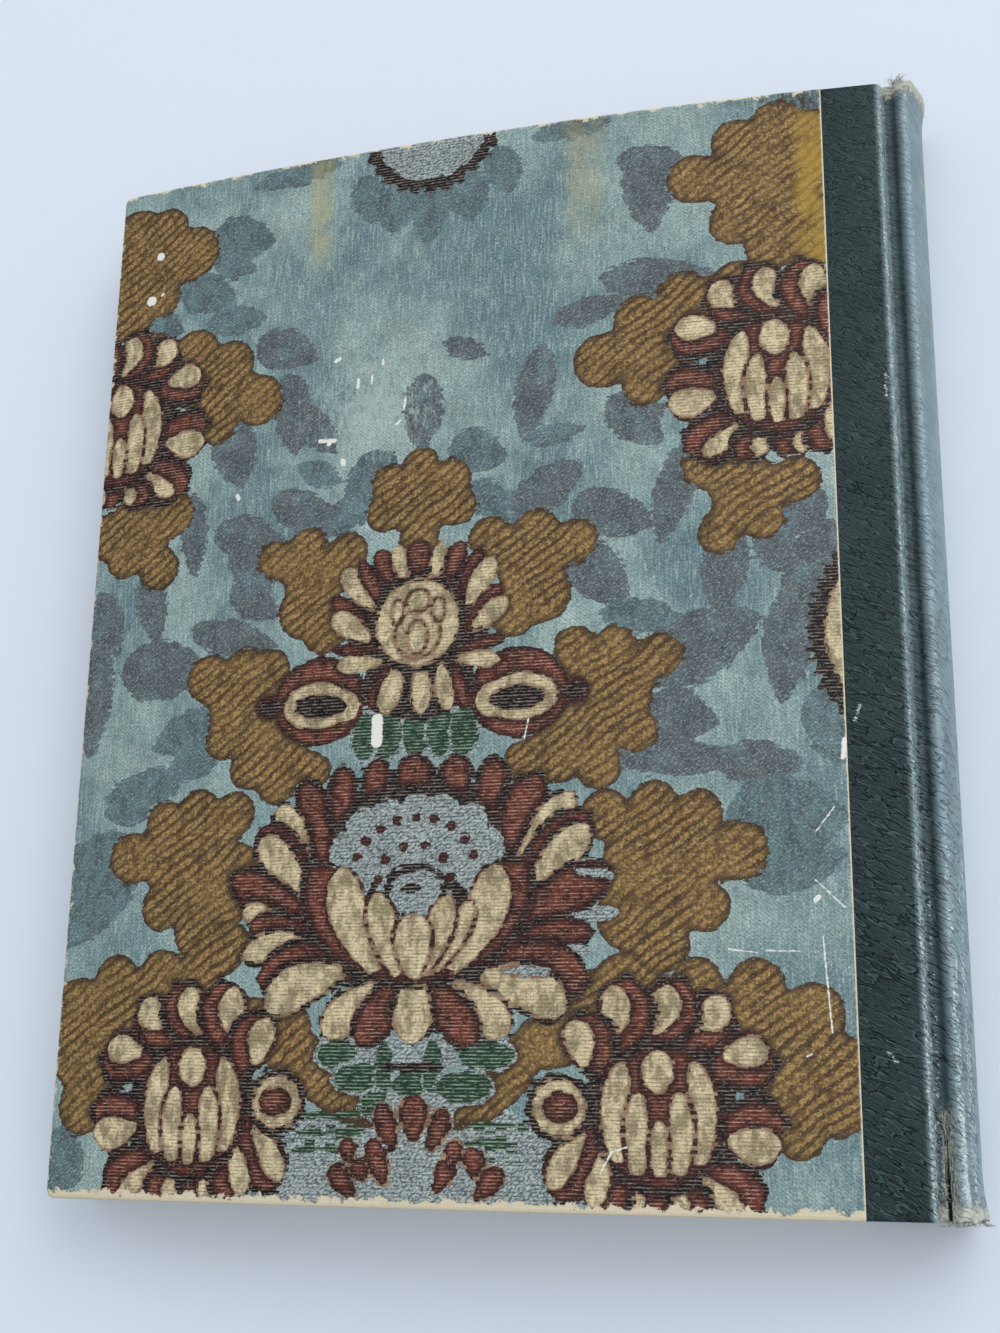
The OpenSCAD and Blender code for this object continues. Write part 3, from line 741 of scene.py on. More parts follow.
def brocadeMaterial():
    material, tree, shader = newMaterial("brocadePaper", rough=0.65, specular=0.2)
    place = stored(tree, "place")
    x, y, _ = parts(place)
    look = tints(brocade)
    fine = noise(place, 0.9, 3, 0.7)
    weft = noise(place, 0.55, 3, 0.7, (4, 1, 1))
    warp = noise(place, 0.55, 3, 0.7, (1, 12, 1))
    grit = noise(place, 0.6, 3, 0.8)
    salt = noise(place, 0.6, 3, 0.75, (1.6, 0.8, 1), 35)
    cloud = noise(place, 34, 4, 0.6, (1, 1.5, 1))
    patches = noise(place, 8, 4, 0.65)
    mottle = noise(place, 3.2, 4, 0.7, (1, 1.8, 1))

    def share(value, low, high, most):
        return between(value, low, high) * most

    def over(amount, colour, key):
        return blendOf(amount, colour, look[key])

    # rows of stitches, a twill in the field and ribs in the ochre leaves
    rows = linesAcross(y, brocade["stitchHigh"], 0.4)
    stitches = rows * between(weft, 0.4, 0.6)
    twill = linesAcross(x * 0.8 + y, 0.9, 0.45) * between(fine, 0.35, 0.6)
    swing = (noise(place, 16, 2) - 0.5) * 5.0
    knots = (noise(place, 1.2, 3, 0.6) - 0.5) * 1.5
    slope = y * 0.8 - x * 0.6 + swing + knots
    ribs = linesAcross(slope, brocade["ribGap"], 0.4) * between(noise(place, 13, 2), 0.3, 0.6, 0.45, 1.0)

    inkA, inkB, inkC = (parts(stored(tree, name)) for name in inkLayers)
    field = over(between(cloud, 0.42, 0.62), look["field"], "fieldDeep")
    field = over(share(cloud, 0.46, 0.3, 0.5), field, "fieldPale")
    field = over(share(mottle, 0.5, 0.68, 0.5), field, "fieldDeep")
    field = over(share(warp, 0.45, 0.7, 0.45), field, "fieldThread")
    field = over(twill * 0.4, field, "fieldGap")
    field = over(share(salt, 0.56, 0.7, 0.6), field, "fieldThread")
    field = over(share(salt, 0.44, 0.3, 0.5), field, "fieldGap")
    shades = []
    for key in ("shadeTeal", "shadeMauve"):
        shade = over(share(mottle, 0.4, 0.62, 0.6), look[key], "shadeDark")
        shade = over(share(patches, 0.52, 0.66, 0.5), shade, "fieldDeep")
        shade = over(share(salt, 0.5, 0.64, 0.55), shade, "shadeThread")
        shades.append(over(twill * 0.4, shade, "shadeDark"))
    ochre = over(between(fine, 0.4, 0.62), look["ochre"], "ochreLight")
    ochre = over(share(mottle, 0.5, 0.62, 0.6), ochre, "ochreRib")
    ochre = over(ribs * 0.85, ochre, "ochreRib")
    ochre = over(share(inkB[0] + fine * 1.6, -0.9, 0.7, 0.85), ochre, "ochreDeep")
    cream = over(share(mottle, 0.4, 0.62, 0.85), look["cream"], "creamShade")
    cream = over(stitches * 0.7, cream, "creamThread")
    cream = over(share(inkC[0] + fine, -0.3, 0.5, 0.7), cream, "creamRim")
    burgundy = over(share(mottle, 0.44, 0.58, 0.8), look["burgundy"], "burgundyDeep")
    burgundy = over(stitches * 0.75, burgundy, "burgundyThread")
    burgundy = over(share(inkB[2] + weft * 1.8, -0.9, 0.6, 0.8), burgundy, "burgundyDeep")
    blue = over(share(salt, 0.46, 0.58, 0.9), look["paleBlue"], "paleBlueThread")
    blue = over(stitches * 0.8, blue, "paleBlueThread")
    green = over(stitches * 0.8, look["green"], "greenThread")
    dark = over(stitches * 0.7, look["dark"], "darkThread")
    inks = [field, *shades, ochre, dark, burgundy, cream, blue, green]

    # each place takes the ink that lies deepest there, row by row of stitches
    reach = [*inkA, *inkB, *inkC]
    jumps = []
    for shift in (1.0, 2.0, 3.0):
        jumps += parts(stitchCells(place, brocade["stitchWide"], brocade["stitchHigh"], shift))
    colour, best = None, None
    for name, ink, distance, jump in zip(inkNames, inks, reach, jumps):
        moved = calc("MULTIPLY_ADD", jump - 0.5, ragged[name], distance)
        if best is None:
            colour, best = ink, moved
            continue
        colour = blendOf(between(best - moved, -0.12, 0.12), colour, ink)
        best = lowest(best, moved)

    # the sheet's own age, specks and stains
    shine = between(patches, 0.25, 0.75, 0.8, 1.2, "LINEAR") * between(grit, 0.3, 0.7, 0.6, 1.5, "LINEAR")
    light = put("ShaderNodeCombineColor", {0: shine, 1: shine, 2: shine})
    colour = blendOf(1.0, colour, light, "MULTIPLY")
    colour = over(share(noise(place, 0.5, 2, 0.6, (1.3, 0.8, 1)), 0.62, 0.7, 0.5), colour, "speck")
    # a whitish rubbed place, and a dark one in the corner at the head and the cloth
    for middle, size, key, most in (((78, 192, 0), (30, 24), "fieldPale", 0.7),
                                    ((186, 262, 0), (24, 8), "ochreDeep", 0.85)):
        apart = vector("SUBTRACT", place, middle)
        apart = vector("LENGTH", stretched(apart, (*size, 1)), output=1)
        worn = noise(place, 2.2, 5, 0.85, (0.6, 1.6, 1)) - apart * 0.22
        colour = over(share(worn, 0.4, 0.52, most), colour, key)
    for middleX, wide, lowY, strength, key in ((61, 4.5, 236, 0.5, "stain"), (132, 7, 234, 0.35, "stain"),
                                               (188, 6, 214, 0.6, "ochreGold")):
        side = between(abs(x - middleX), wide, wide * 0.3)
        up = between(y, lowY - 8, lowY + 8) * between(patches, 0.3, 0.6)
        if key == "ochreGold":
            up = up * between(inkB[0], 0.2, -0.8)
        colour = over(side * up * strength, colour, key)

    # wear: a ragged bare strip along the tail, thin ones along the other edges, and scratches
    torn = noise(place, 3.2, 5, 0.7)

    def bareFrom(distance, low, high, most):
        lost = between(torn, low, high, 0.0, most, "LINEAR")
        return between(distance - lost, 0.25, -0.15)

    def bareAlong(distance, low, high, most):
        return bareFrom(abs(distance + 0.5), low, high, most)

    bare = highest(bareFrom(y, 0.28, 0.7, 3.6), bareAlong(cover["high"] - y, 0.4, 0.7, 2.6),
                   bareAlong(x, 0.38, 0.7, 2.0),
                   between(x - fine * 0.7, cover["paperWide"] - 0.75, cover["paperWide"] - 0.55))
    colour = blendOf(bare, colour, blendOf(fine, look["bareLow"], look["bareHigh"]))
    scuffed = between(nearest(place, scratches) + (fine - 0.5), 0.12, -0.08)
    colour = over(scuffed, colour, "white")
    relief = weft * 0.5 + rows * 0.25 - highest(bare, scuffed) * 0.8
    finishMaterial(shader, colour, relief, depth=0.09)
    return material


# Leathercloth

def arcPoints(centreX, centreZ, radius, first, last, count):
    turn = np.radians(np.linspace(first, last, count))
    return [(centreX + radius * math.cos(a), centreZ + radius * math.sin(a)) for a in turn]


clothEdgeX = cover["paperWide"] - 2  # the cloth runs on under the paper
bendX = (cover["wide"] - 0.1, cover["wide"] + 2.2)  # where the cloth bends in the joints
footX = cover["wide"] + spine["jointWide"]
tipX = footX + spine["shoulderWide"]
tipUp = spine["pagesThick"] / 2 + spine["shoulderHigh"]
backRadius = (tipUp ** 2 + spine["round"] ** 2) / (2 * spine["round"])
backCentreX = tipX + spine["round"] - backRadius
spineTurn = math.degrees(math.asin(tipUp / backRadius))
shoulderTurn = math.degrees(math.atan2(spine["shoulderHigh"], spine["shoulderWide"]))


def shoulderPath(side):
    # from the groove's floor up over the shoulder, above the middle of the pages or below it
    grow = spine["layers"]
    level = spine["pagesThick"] / 2 + grow
    bottomX = footX - grow * math.tan(math.radians(shoulderTurn / 2))
    path = [(x, level) for x in np.linspace(cover["wide"] + 0.35, bottomX, 5)]
    top = arcPoints(tipX, tipUp, grow, 90 + shoulderTurn, spineTurn, 14)
    path += [(bottomX + (top[0][0] - bottomX) * s, level + (top[0][1] - level) * s) for s in (0.3, 0.6)] + top
    return [(x, middleZ + side * z) for x, z in path]


def boardPath(side):
    # over the board from under the paper's edge and round the board's edge
    outer = cover["boardThick"] + cover["clothThick"]
    radius = cover["jointEdgeRound"]
    xs = np.arange(clothEdgeX, cover["wide"] - radius, 0.5)
    path = [(x, outer) for x in xs]
    path += arcPoints(cover["wide"] - radius, outer - radius, radius, 90, 0, 9)
    if side > 0:
        return [(x, backInnerZ + z + archAt(x)) for x, z in path]
    return [(x, frontInnerZ - z) for x, z in path]


def evenPath(path, step):
    path = np.array(path)
    run = np.concatenate([[0], np.cumsum(np.hypot(*np.diff(path, axis=0).T))])
    even = np.linspace(0, run[-1], max(2, round(run[-1] / step) + 1))
    return np.stack([np.interp(even, run, path[:, 0]), np.interp(even, run, path[:, 1])], -1), even


def leatherSheet(name, path, material, step, flare):
    # a sheet along Y whose section is the path, turned in over its ends
    path, run = evenPath(path, leather["acrossStep"])
    ahead = np.gradient(path, axis=0)
    ahead /= np.linalg.norm(ahead, axis=1)[:, None]
    normal = np.stack([-ahead[:, 1], ahead[:, 0]], -1)
    if name == "frontLeather":
        normal = -normal
    onBoard = path[:, 0] < cover["wide"] + 0.2
    onFront = path[:, 1] < middleZ
    inner = path - normal * spine["sheetThick"]
    inner[onBoard, 0] = np.minimum(path[onBoard, 0], cover["wide"] - 0.6)
    inner[onBoard & ~onFront, 1] = backInnerZ - cover["clothThick"] + archAt(path[onBoard & ~onFront, 0])
    inner[onBoard & onFront, 1] = frontInnerZ + cover["clothThick"]
    inset, high, ends = spine["clothInset"], cover["high"], leather["cutEnd"]
    ys = np.linspace(inset + ends, high - inset - ends, round((high - 2 * inset - 2 * ends) / step) + 1)
    # tail turn-in, edge, outside, edge and head turn-in: place along Y, share of the thickness, unrolled length
    tail = [(inset + deep, 1.0, -deep - 3) for deep in (cover["turnIn"], 10, 5, 2)]
    tail += [(inset + ends - ends * math.sin(a), 1 - 0.22 * (1 - math.cos(a)), -2.6 + 0.3 * k)
             for k, a in enumerate(np.radians([0, 30, 60, 90]))]
    tail += [(inset, 0.5, -1.0)]
    tail += [(inset + ends - ends * math.sin(a), 0.22 * (1 - math.cos(a)), -0.7 + 0.3 * k)
             for k, a in enumerate(np.radians([90, 60, 30]))]
    profile = tail + [(y, 0.0, y - inset - ends) for y in ys]
    span = high - 2 * inset - 2 * ends
    profile += [(high - y, share, span - unrolled) for y, share, unrolled in tail[::-1]]
    profile = np.array(profile)
    y, share = profile[:, 0][:, None], profile[:, 1][:, None]
    sectionX = path[:, 0] + (inner[:, 0] - path[:, 0]) * share
    sectionZ = path[:, 1] + (inner[:, 1] - path[:, 1]) * share

    def nearEnds(reach):
        # from 0 to 1 over the last stretch towards the head and the tail
        return np.clip((np.abs(y - high / 2) - high / 2 + reach) / reach, 0, 1) ** 2

    # the caps spread a little at head and tail
    spread = flare * nearEnds(leather["flareLong"])
    loose = np.clip((path[:, 0] - tipX + 0.5) / 1.5, 0, 1)  # 0 over the board and the groove, 1 round the back
    sectionX = sectionX + spread * loose * normal[:, 0] * (1 - 0.5 * share)
    sectionZ = sectionZ + spread * loose * normal[:, 1] * (1 - 0.5 * share)
    # their worn ends are uneven along the section
    bits = np.arange(0, run[-1] + 2, leather["frayedBit"])
    uneven = np.interp(run, bits, rng.uniform(0, 1, len(bits)))
    fray = nearEnds(leather["frayLong"]) * np.clip(loose * 3, 0, 1) * uneven * flare * 0.9
    y = y - np.sign(y - high / 2) * fray
    quads = gridQuads(*sectionX.shape, flip=name == "frontLeather")
    piece = makeMesh(name, toFrame(sectionX, y, sectionZ), quads, material)
    placeX = np.broadcast_to(clothEdgeX + run, sectionX.shape).ravel()
    placeY = np.broadcast_to(profile[:, 2][:, None], sectionX.shape).ravel()
    storeNumbers(piece, "place", placeX, placeY, np.zeros_like(placeX))
    mapEdge, mapEnd = 1, 20
    storeMap(piece, (placeX - clothEdgeX + mapEdge) / (run[-1] + 2 * mapEdge),
             (placeY + mapEnd) / (high + 2 * mapEnd))
    print(name, "made:", len(piece.data.polygons), "faces, section", round(run[-1], 1), "mm")
    return piece


def leatherPieces(material):
    back = boardPath(1) + shoulderPath(1)
    back += arcPoints(backCentreX, middleZ, backRadius + spine["layers"], spineTurn, -spineTurn, 50)[1:-1]
    # the front groove's floor belongs to the front sheet
    back += [point for point in shoulderPath(-1)[::-1] if point[0] > bendX[1] + 0.05]
    backSheet = leatherSheet("backLeather", back, material, step=0.8, flare=1.2)
    toFrame(bendX[1], 0, 0)[0]
    toFrame(bendX[0], 0, 0)[0]
    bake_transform(backSheet)
    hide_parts("back_cloth_strip", "spine_cloth")
    front = boardPath(-1) + [(cover["wide"] + 0.5, frontInnerZ - 0.6), (bendX[1], frontInnerZ - 0.55)]
    frontSheet = leatherSheet("frontLeather", front, material, step=1.2, flare=0)
    toFrame(bendX[0], 0, 0)[0]
    toFrame(bendX[1], 0, 0)[0]
    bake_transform(frontSheet)
    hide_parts("front_cloth_strip")


# look of the leathercloth, screen colours
leather = {
    "deep": (16, 36, 38), "face": (28, 47, 48), "creaseShade": (7, 18, 20), "grainHighlight": (92, 116, 118),
    "fadeAndSheen": (112, 134, 142), "pale": (146, 166, 174), "rubbed": (196, 206, 204), "frayed": (206, 208, 194),
    # the torn colour is the painted shade inside the split
    "gilt": (190, 152, 88), "torn": (12, 14, 15),
    "grainDepth": 0.34,
    "acrossStep": 0.45,  # between the sheet's points
    "cutEnd": 0.6,  # rounding of the turned-in ends
    "flareLong": 10,  # how far from its ends the spine's sheet spreads, and how far it is frayed
    "frayLong": 4,
    "frayedBit": 1.1,
    "creaseLong": 6.5, "creaseWide": 1.35, "creaseTurn": -28,
    "tearX": 208.9, "tearLong": 21.0, "tearWide": 0.6,  # split in the back joint at the tail
}
# rubbed places: from x, y to x, y along the unrolled sheet and half width
rubs = [(203, 181, 203.1, 187, 0.0), (193, 105, 193.8, 108, 0.0), (214.0, 48, 214.2, 52, 0.2),
        (220.5, 74, 220.6, 66, 0.3), (213.6, 20, 213.8, 3, 0.3), (197, 33, 198.4, 31, 0.1)]


def leatherMaterial():
    material, tree, shader = newMaterial("leathercloth", rough=0.42, specular=0.6)
    place = stored(tree, "place")
    x, y, _ = parts(place)
    look = tints(leather)
    # x runs round the unrolled sheet: the board's edge is near 205, the groove's floor near 209
    # and the round back from 217 to 240
    # creases that run down to the right, deeper towards the tail
    long, wide, turn = leather["creaseLong"], leather["creaseWide"], leather["creaseTurn"]
    wave = noise(place, 1.0, 2, 0.4, (long, wide, 1), turn)
    creases = between(abs(wave - 0.5), 0.0, 0.035)
    creaseHighlight = between(wave, 0.52, 0.54) * between(wave, 0.58, 0.55)
    small = noise(place, 1.0, 2, 0.5, (long * 0.3, wide * 0.6, 1), turn)
    small = between(abs(small - 0.5), 0.0, 0.1)
    deeper = between(y, 200, 70, 0.4, 1.0)
    pores = noise(place, 0.5, 3, 0.7)
    specks = noise(place, 0.75, 3, 0.75, (1.5, 0.8, 1), turn)
    cloud = noise(place, 14, 3, 0.6)
    colour = blendOf(between(cloud, 0.35, 0.65), look["deep"], look["face"])
    # the spine, the board's edge and the groove's far flank are lighter: partly faded cloth, partly a painted
    # highlight of the bright light from the spine's side, which also paints the groove's shaded flank lighter
    edge = between(abs(x - 205.5), 1.7, 0.8)
    fadeAndSheen = highest(edge, between(x, 209.6, 212.4, 0.28, 1.0)) * between(x, 203.2, 204.2)
    colour = blendOf(fadeAndSheen * between(cloud, 0.25, 0.7, 0.7, 1.0), colour, look["fadeAndSheen"])
    # paler towards the right of the spine's round and towards the tail: a painted highlight where the round
    # turns to the light
    colour = blendOf(between(x, 214, 224, 0.0, 0.4) * between(y, 262, 150, 0.3, 1.0), colour, look["pale"])
    # painted shade: the grain's creases are drawn darker, most towards the tail
    dark = (1.0 - creases) * deeper * between(fadeAndSheen, 0.3, 0.9, 0.85, 0.5)
    colour = blendOf(dark, colour, look["creaseShade"])
    # painted highlights: a light line beside each crease and light specks on the grain, paler where the spine
    # is painted with sheen
    light = highest(creaseHighlight * (deeper * 0.3), between(specks, 0.58, 0.74, 0.0, 0.28))
    colour = blendOf(light, colour, blendOf(fadeAndSheen, look["grainHighlight"], look["pale"]))
    # rubbed ridges, the board's edge and the shoulder, where only the tops of the grain are worn
    ridges = []
    for middle, wide, top, tail in ((205.4, 1.7, 0.55, 1.0), (213.4, 1.6, 0.2, 0.85), (217.5, 2.4, 0.1, 0.8),
                                    (207.6, 0.8, 0.1, 0.45)):
        ridges.append(between(abs(x - middle), wide, wide * 0.2) * between(y, 100, 15, top, tail))
    rubbed = highest(*ridges)
    worn = noise(place, 1.6, 4, 0.7, (0.8, 3, 1))
    tops = specks + (worn - 0.5) * 0.5 + (rubbed - 1.0) * 0.12
    rubbed = between(tops, 0.48, 0.56) * between(rubbed, 0.0, 0.3, 0.0, 0.9)
    scraped = between(nearest(place, rubs) + (specks - 0.5) * 5.0, 0.1, -0.2)
    rubbed = highest(rubbed, scraped * 0.9)
    colour = blendOf(rubbed, colour, look["rubbed"])
    # what is left of thin gilt rules across the spine
    rules = highest(*[between(abs(y - middleY), 0.42, 0.2) for middleY in (256, 239, 203)])
    onSpine = between(x, 216.5, 217.5) * between(x, 240, 239)
    rules = rules * onSpine * between(worn, 0.55, 0.45, 0.0, 0.9)
    colour = blendOf(rules, colour, look["gilt"])
    # frayed ends of the spine, and the split in the joint with its frayed sides
    nearEnd = lowest(y, cover["high"] - 1.5 - y)
    torn = noise(place, 1.5, 5, 0.8)
    frayed = between(nearEnd - torn * 9.0, -0.9, -2.8)
    frayed = frayed * between(x, cover["wide"] - 1, cover["wide"] + 4)
    aside = abs(x - leather["tearX"]) + (torn - 0.5) * 0.9
    halfWide = between(y, leather["tearLong"], 2, 0.0, leather["tearWide"])
    reach = between(x, leather["tearX"], leather["tearX"] + 1, 1.6, 3.4)
    fringe = between((aside - halfWide) / reach, 1.0, 0.1)
    fringe = fringe * between(y, leather["tearLong"] + 3, leather["tearLong"] - 2)
    strands = between(noise(place, 0.6, 3, 0.7, (0.6, 4, 1)), 0.44, 0.52)
    frayed = highest(frayed, fringe * strands)
    colour = blendOf(frayed * between(specks, 0.36, 0.56, 0.35, 1.0), colour, look["frayed"])
    # the split's opening is painted near black: painted shade inside it
    split = between(aside - halfWide, 0.1, -0.25) * between(y, leather["tearLong"], leather["tearLong"] - 3)
    colour = blendOf(split, colour, look["torn"])
    relief = creases * (deeper * 0.8) + small * 0.09 + pores * 0.2 - split * 2.5 + frayed * pores * 1.2
    gloss = between(wave, 0.3, 0.7, 0.35, 0.44) + frayed * 0.4 + highest(split, fadeAndSheen) * 0.12
    join(calc("MULTIPLY_ADD", fadeAndSheen, 0.4, 0.22), shader, "Specular IOR Level")
    finishMaterial(shader, colour, relief, leather["grainDepth"], gloss)
    return material


# loose threads at the worn ends of the spine and along the split
threads = {
    "radius": 0.085,
    "count": 70,  # at each end
    "splitCount": 26,
    "splitLong": (0.5, 19),
    "longest": 3.0,
    "shortest": 0.35,  # as a share of the longest
    "curl": 0.45,
    "thinning": 0.6,  # share of the radius lost at the tip
    "bends": 5,
    "standOut": 0.2,  # past the cover's ends
}


def looseThreads(material):
    # each a bent hair with four sides, as points x, y, z in millimetres
    section = np.array(shoulderPath(1)[6:] + arcPoints(backCentreX, middleZ, backRadius + spine["layers"],
                                                       spineTurn, -spineTurn, 40) + shoulderPath(-1)[::-1][:14])
    starts = []
    for endY, out in ((0.6, -1.0), (cover["high"] - 0.6, 1.0)):
        # more of them on the shoulder than round the back
        for share in rng.uniform(0, 1, threads["count"]) ** 1.6:
            x, z = section[round(share * (len(section) - 1))]
            starts.append((x - rng.uniform(0, 0.8), endY, z - rng.uniform(0, 0.5), out * 0.8,
                           rng.normal(0, 0.6)))
    for y in rng.uniform(*threads["splitLong"], threads["splitCount"]):
        side = rng.choice([-1.0, 1.0])
        starts.append((cover["wide"] + 2.0 + side * 0.7, y, middleZ + spine["pagesThick"] / 2 + spine["layers"],
                       rng.normal(0, 0.5), -side))
    points, quads = [], []
    last = threads["bends"]
    for x, y, z, alongY, alongX in starts:
        length = rng.uniform(threads["shortest"], 1.0) * threads["longest"]
        way = np.array([alongX + rng.normal(0, 0.3), alongY, rng.normal(0.25, 0.35)])
        way /= np.linalg.norm(way)
        curl = rng.normal(0, threads["curl"], 3)
        t = np.linspace(0, 1, last + 1)[:, None]
        middle = np.array([x, y, z]) + length * (way * t + curl * t ** 2)
        out = threads["standOut"] + 0.12 * length
        middle[:, 1] = np.clip(middle[:, 1], -out, cover["high"] + out)
        base = len(points) * 4
        for k, centre in enumerate(middle):
            ahead = middle[min(k + 1, last)] - middle[max(k - 1, 0)]
            ahead /= np.linalg.norm(ahead)
            across = np.cross(ahead, (0.2, 0.3, 0.9))
            across /= np.linalg.norm(across)
            above = np.cross(ahead, across)
            thin = threads["radius"] * (1 - threads["thinning"] * k / last)
            points.append([centre + thin * across, centre + thin * above, centre - thin * across,
                           centre - thin * above])
        for k in range(last):
            for side in range(4):
                a, b = base + 4 * k + side, base + 4 * k + (side + 1) % 4
                quads.append((a, b, b + 4, a + 4))
        quads.append([base + side for side in (3, 2, 1, 0)])
        quads.append([base + 4 * last + side for side in range(4)])
    points = np.array(points).reshape(-1, 3)
    piece = makeMesh("looseThreads", toFrame(*points.T), quads, material)
    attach(piece, "block")
    print("looseThreads made:", len(piece.data.polygons), "faces")


# Pages and the paper and board inside

def pagesMaterial():
    material, tree, shader = newMaterial("pageEdges", rough=0.8, specular=0.2)
    place = stored(tree, "place")
    leaves = noise(place, 0.24, 3, 0.7, (260, 260, 1))
    age = noise(place, 22, 4, 0.6)
    colour = blendOf(between(age, 0.35, 0.7), tint(228, 217, 190), tint(212, 197, 165))
    colour = blendOf(between(leaves, 0.48, 0.66) * 0.55, colour, tint(158, 140, 112))
    finishMaterial(shader, colour, leaves, depth=0.08)
    return material


def framePlace(tree):
    # places of the frame in millimetres, for a piece with none stored
    return vector("SCALE", put("ShaderNodeTexCoord", {}, 3, tree), scale=1 / mm)


def plainMaterial(name, colour, other, size, rough):
    # mottled sheet or board
    material, tree, shader = newMaterial(name, rough, specular=0.3)
    mottle = noise(framePlace(tree), size, 4, 0.6)
    colour = blendOf(between(mottle, 0.3, 0.7), tint(*colour), tint(*other))
    finishMaterial(shader, colour, mottle, depth=0.05)
    return material


def weaveMaterial(name, colour, other, gap, along):
    # threads that run across a strip
    material, tree, shader = newMaterial(name, rough=0.75, specular=0.3)
    lines = linesAcross(parts(framePlace(tree))[along], gap, 0.5)
    finishMaterial(shader, blendOf(lines, tint(*colour), tint(*other)), lines, depth=0.1)
    return material


pages = {
    "square": 3.0,  # how far the boards stand out past the leaves
    "crown": 2.0,  # how far the upper side arches up
    "hollow": 2.6,  # of the fore-edge
    "layers": 56,  # leaves drawn in the edges, each a few sheets thick
    "uneven": 0.12,  # how far a leaf stands out from its neighbours
    "waves": 12,  # round the block, along each leaf
    "waveShare": 0.6,
    "most": 0.15,
    "sunk": 0.04,
    "backSteps": 40,  # halvings that find where a leaf meets the round back
    "acrossSteps": 90,
    "upSteps": 110,
}


def pageBlock(material):
    count = pages["layers"] * 2
    shares = np.linspace(0, 1, pages["layers"] + 1).repeat(2)[1:-1]
    half = spine["pagesThick"] / 2
    square, high = pages["square"], cover["high"]

    def levels(x, share):
        rise = np.clip((x - footX) / spine["shoulderWide"], 0, 1.0) * spine["shoulderHigh"]
        low, top = -half - rise, half + rise + archAt(x, pages["crown"])
        return low + share * (top - low)

    foreHigh = spine["pagesThick"] + archAt(square, pages["crown"])
    hollowRadius = ((foreHigh / 2) ** 2 + pages["hollow"] ** 2) / (2 * pages["hollow"])
    foreZ = -half + shares * foreHigh
    foreX0 = square + pages["hollow"] - hollowRadius
    foreX0 = foreX0 + np.sqrt(hollowRadius ** 2 - (foreZ - foreHigh / 2 + half) ** 2)
    low, top = np.full(count, footX - 2.0), np.full(count, tipX + spine["round"])
    for _ in range(pages["backSteps"]):
        middle = (low + top) / 2
        z = levels(middle, shares)
        past = middle > backCentreX + np.sqrt(np.maximum(backRadius ** 2 - z ** 2, 0))
        low, top = np.where(past, low, middle), np.where(past, middle, top)
    backX = (low + top) / 2
    # round the block: along the tail, up the back, along the head, down the fore-edge
    across = np.linspace(0, 1, pages["acrossSteps"])
    up = np.linspace(0, 1, pages["upSteps"])
    ringX = np.concatenate([across, np.ones(len(up) - 2), across[::-1], np.zeros(len(up) - 2)])
    ringY = np.concatenate([np.zeros(len(across)), up[1:-1], np.ones(len(across)), up[::-1][1:-1]])
    outX = np.where(ringX == 0, -1.0, 0.0)
    outY = np.where(ringY == 0, -1.0, np.where(ringY == 1, 1.0, 0.0))
    waves = pages["waves"]
    jitter = np.repeat(rng.normal(0, 1, pages["layers"]), 2)[:, None] * pages["uneven"]
    wander = np.repeat(rng.normal(0, 1, (pages["layers"], waves)), 2, axis=0)
    bend = np.stack([np.interp(np.linspace(0, waves, len(ringX)), np.arange(waves + 1), np.append(row, row[0]))
                     for row in wander]) * pages["uneven"] * pages["waveShare"]
    stand = np.minimum(jitter + bend, pages["most"]) - pages["sunk"]
    x = foreX0[:, None] + (backX - foreX0)[:, None] * ringX + outX * stand
    y = square + (high - 2 * square) * ringY + outY * stand
    z = levels(x, shares[:, None])
    fore = ringX == 0
    z[:, fore] = foreZ[:, None]
    rows, columns = x.shape
    index = np.arange(rows * columns).reshape(rows, columns)
    index = np.concatenate([index, index[:, :1]], axis=1)
    quads = cells(index)
    # flat faces above and below, as strips between the tail and head edges
    k = len(across)
    tailRun = np.arange(k)
    headRun = np.arange(k + len(up) - 2, 2 * k + len(up) - 2)[::-1]
    beneath, above = (cells(np.stack([index[row, tailRun], index[row, headRun]])) for row in (0, rows - 1))
    quads = np.concatenate([quads, beneath[:, ::-1], above])
    piece = makeMesh("pageBlock", toFrame(x, y, middleZ + z), quads, material, smooth=False)
    # leaves are numbered up the edge, so that their lines follow the swell
    placeX, placeY = x.ravel() - x.min(), y.ravel()
    storeNumbers(piece, "place", placeX, placeY, np.repeat(shares, columns) * spine["pagesThick"])
    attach(piece, "block")
    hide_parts("text_block")
    print("pageBlock made:", len(piece.data.polygons), "faces")


folds = {
    "under": 1.2, "past": 3.0,  # how far a fold runs under the board and past the board's edge
    "bend": (1.1, 1.9),  # where it bends, past the board's edge
    "inset": 0.2,
    "overPages": 0.25,
    "halfThick": 0.03,
}


def endpaperFold(name, body, height, material):
    # the endpaper between a pastedown and its flyleaf
    inset = pages["square"] + folds["inset"]
    x, y = np.meshgrid(np.linspace(cover["wide"] - folds["under"], cover["wide"] + folds["past"], 36),
                       np.linspace(inset, cover["high"] - inset, 60))
    above, beneath = (toFrame(x, y, height + half) for half in (folds["halfThick"], -folds["halfThick"]))
    quads = np.concatenate([gridQuads(*x.shape), gridQuads(*x.shape, first=x.size, flip=True)])
    piece = makeMesh(name, np.concatenate([above, beneath]), quads, material)
    near, far = (toFrame(cover["wide"] + past, 0, 0)[0] for past in folds["bend"])
    if body == "back_cover":
        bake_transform(piece)
    else:
        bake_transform(piece)
    print(name, "made:", len(piece.data.polygons), "faces")


brocadeLook = brocadeMaterial()
coverPaper("backCoverPaper", "back_cover_paper", "back_cover", brocadeLook, step=0.8, upper=True)
coverPaper("frontCoverPaper", "front_cover_paper", "front_cover", brocadeLook, step=1.25, upper=False)
leatherPieces(leatherMaterial())
looseThreads(plainMaterial("frayedThread", (176, 180, 164), (116, 124, 112), size=0.8, rough=0.85))
pageBlock(pagesMaterial())

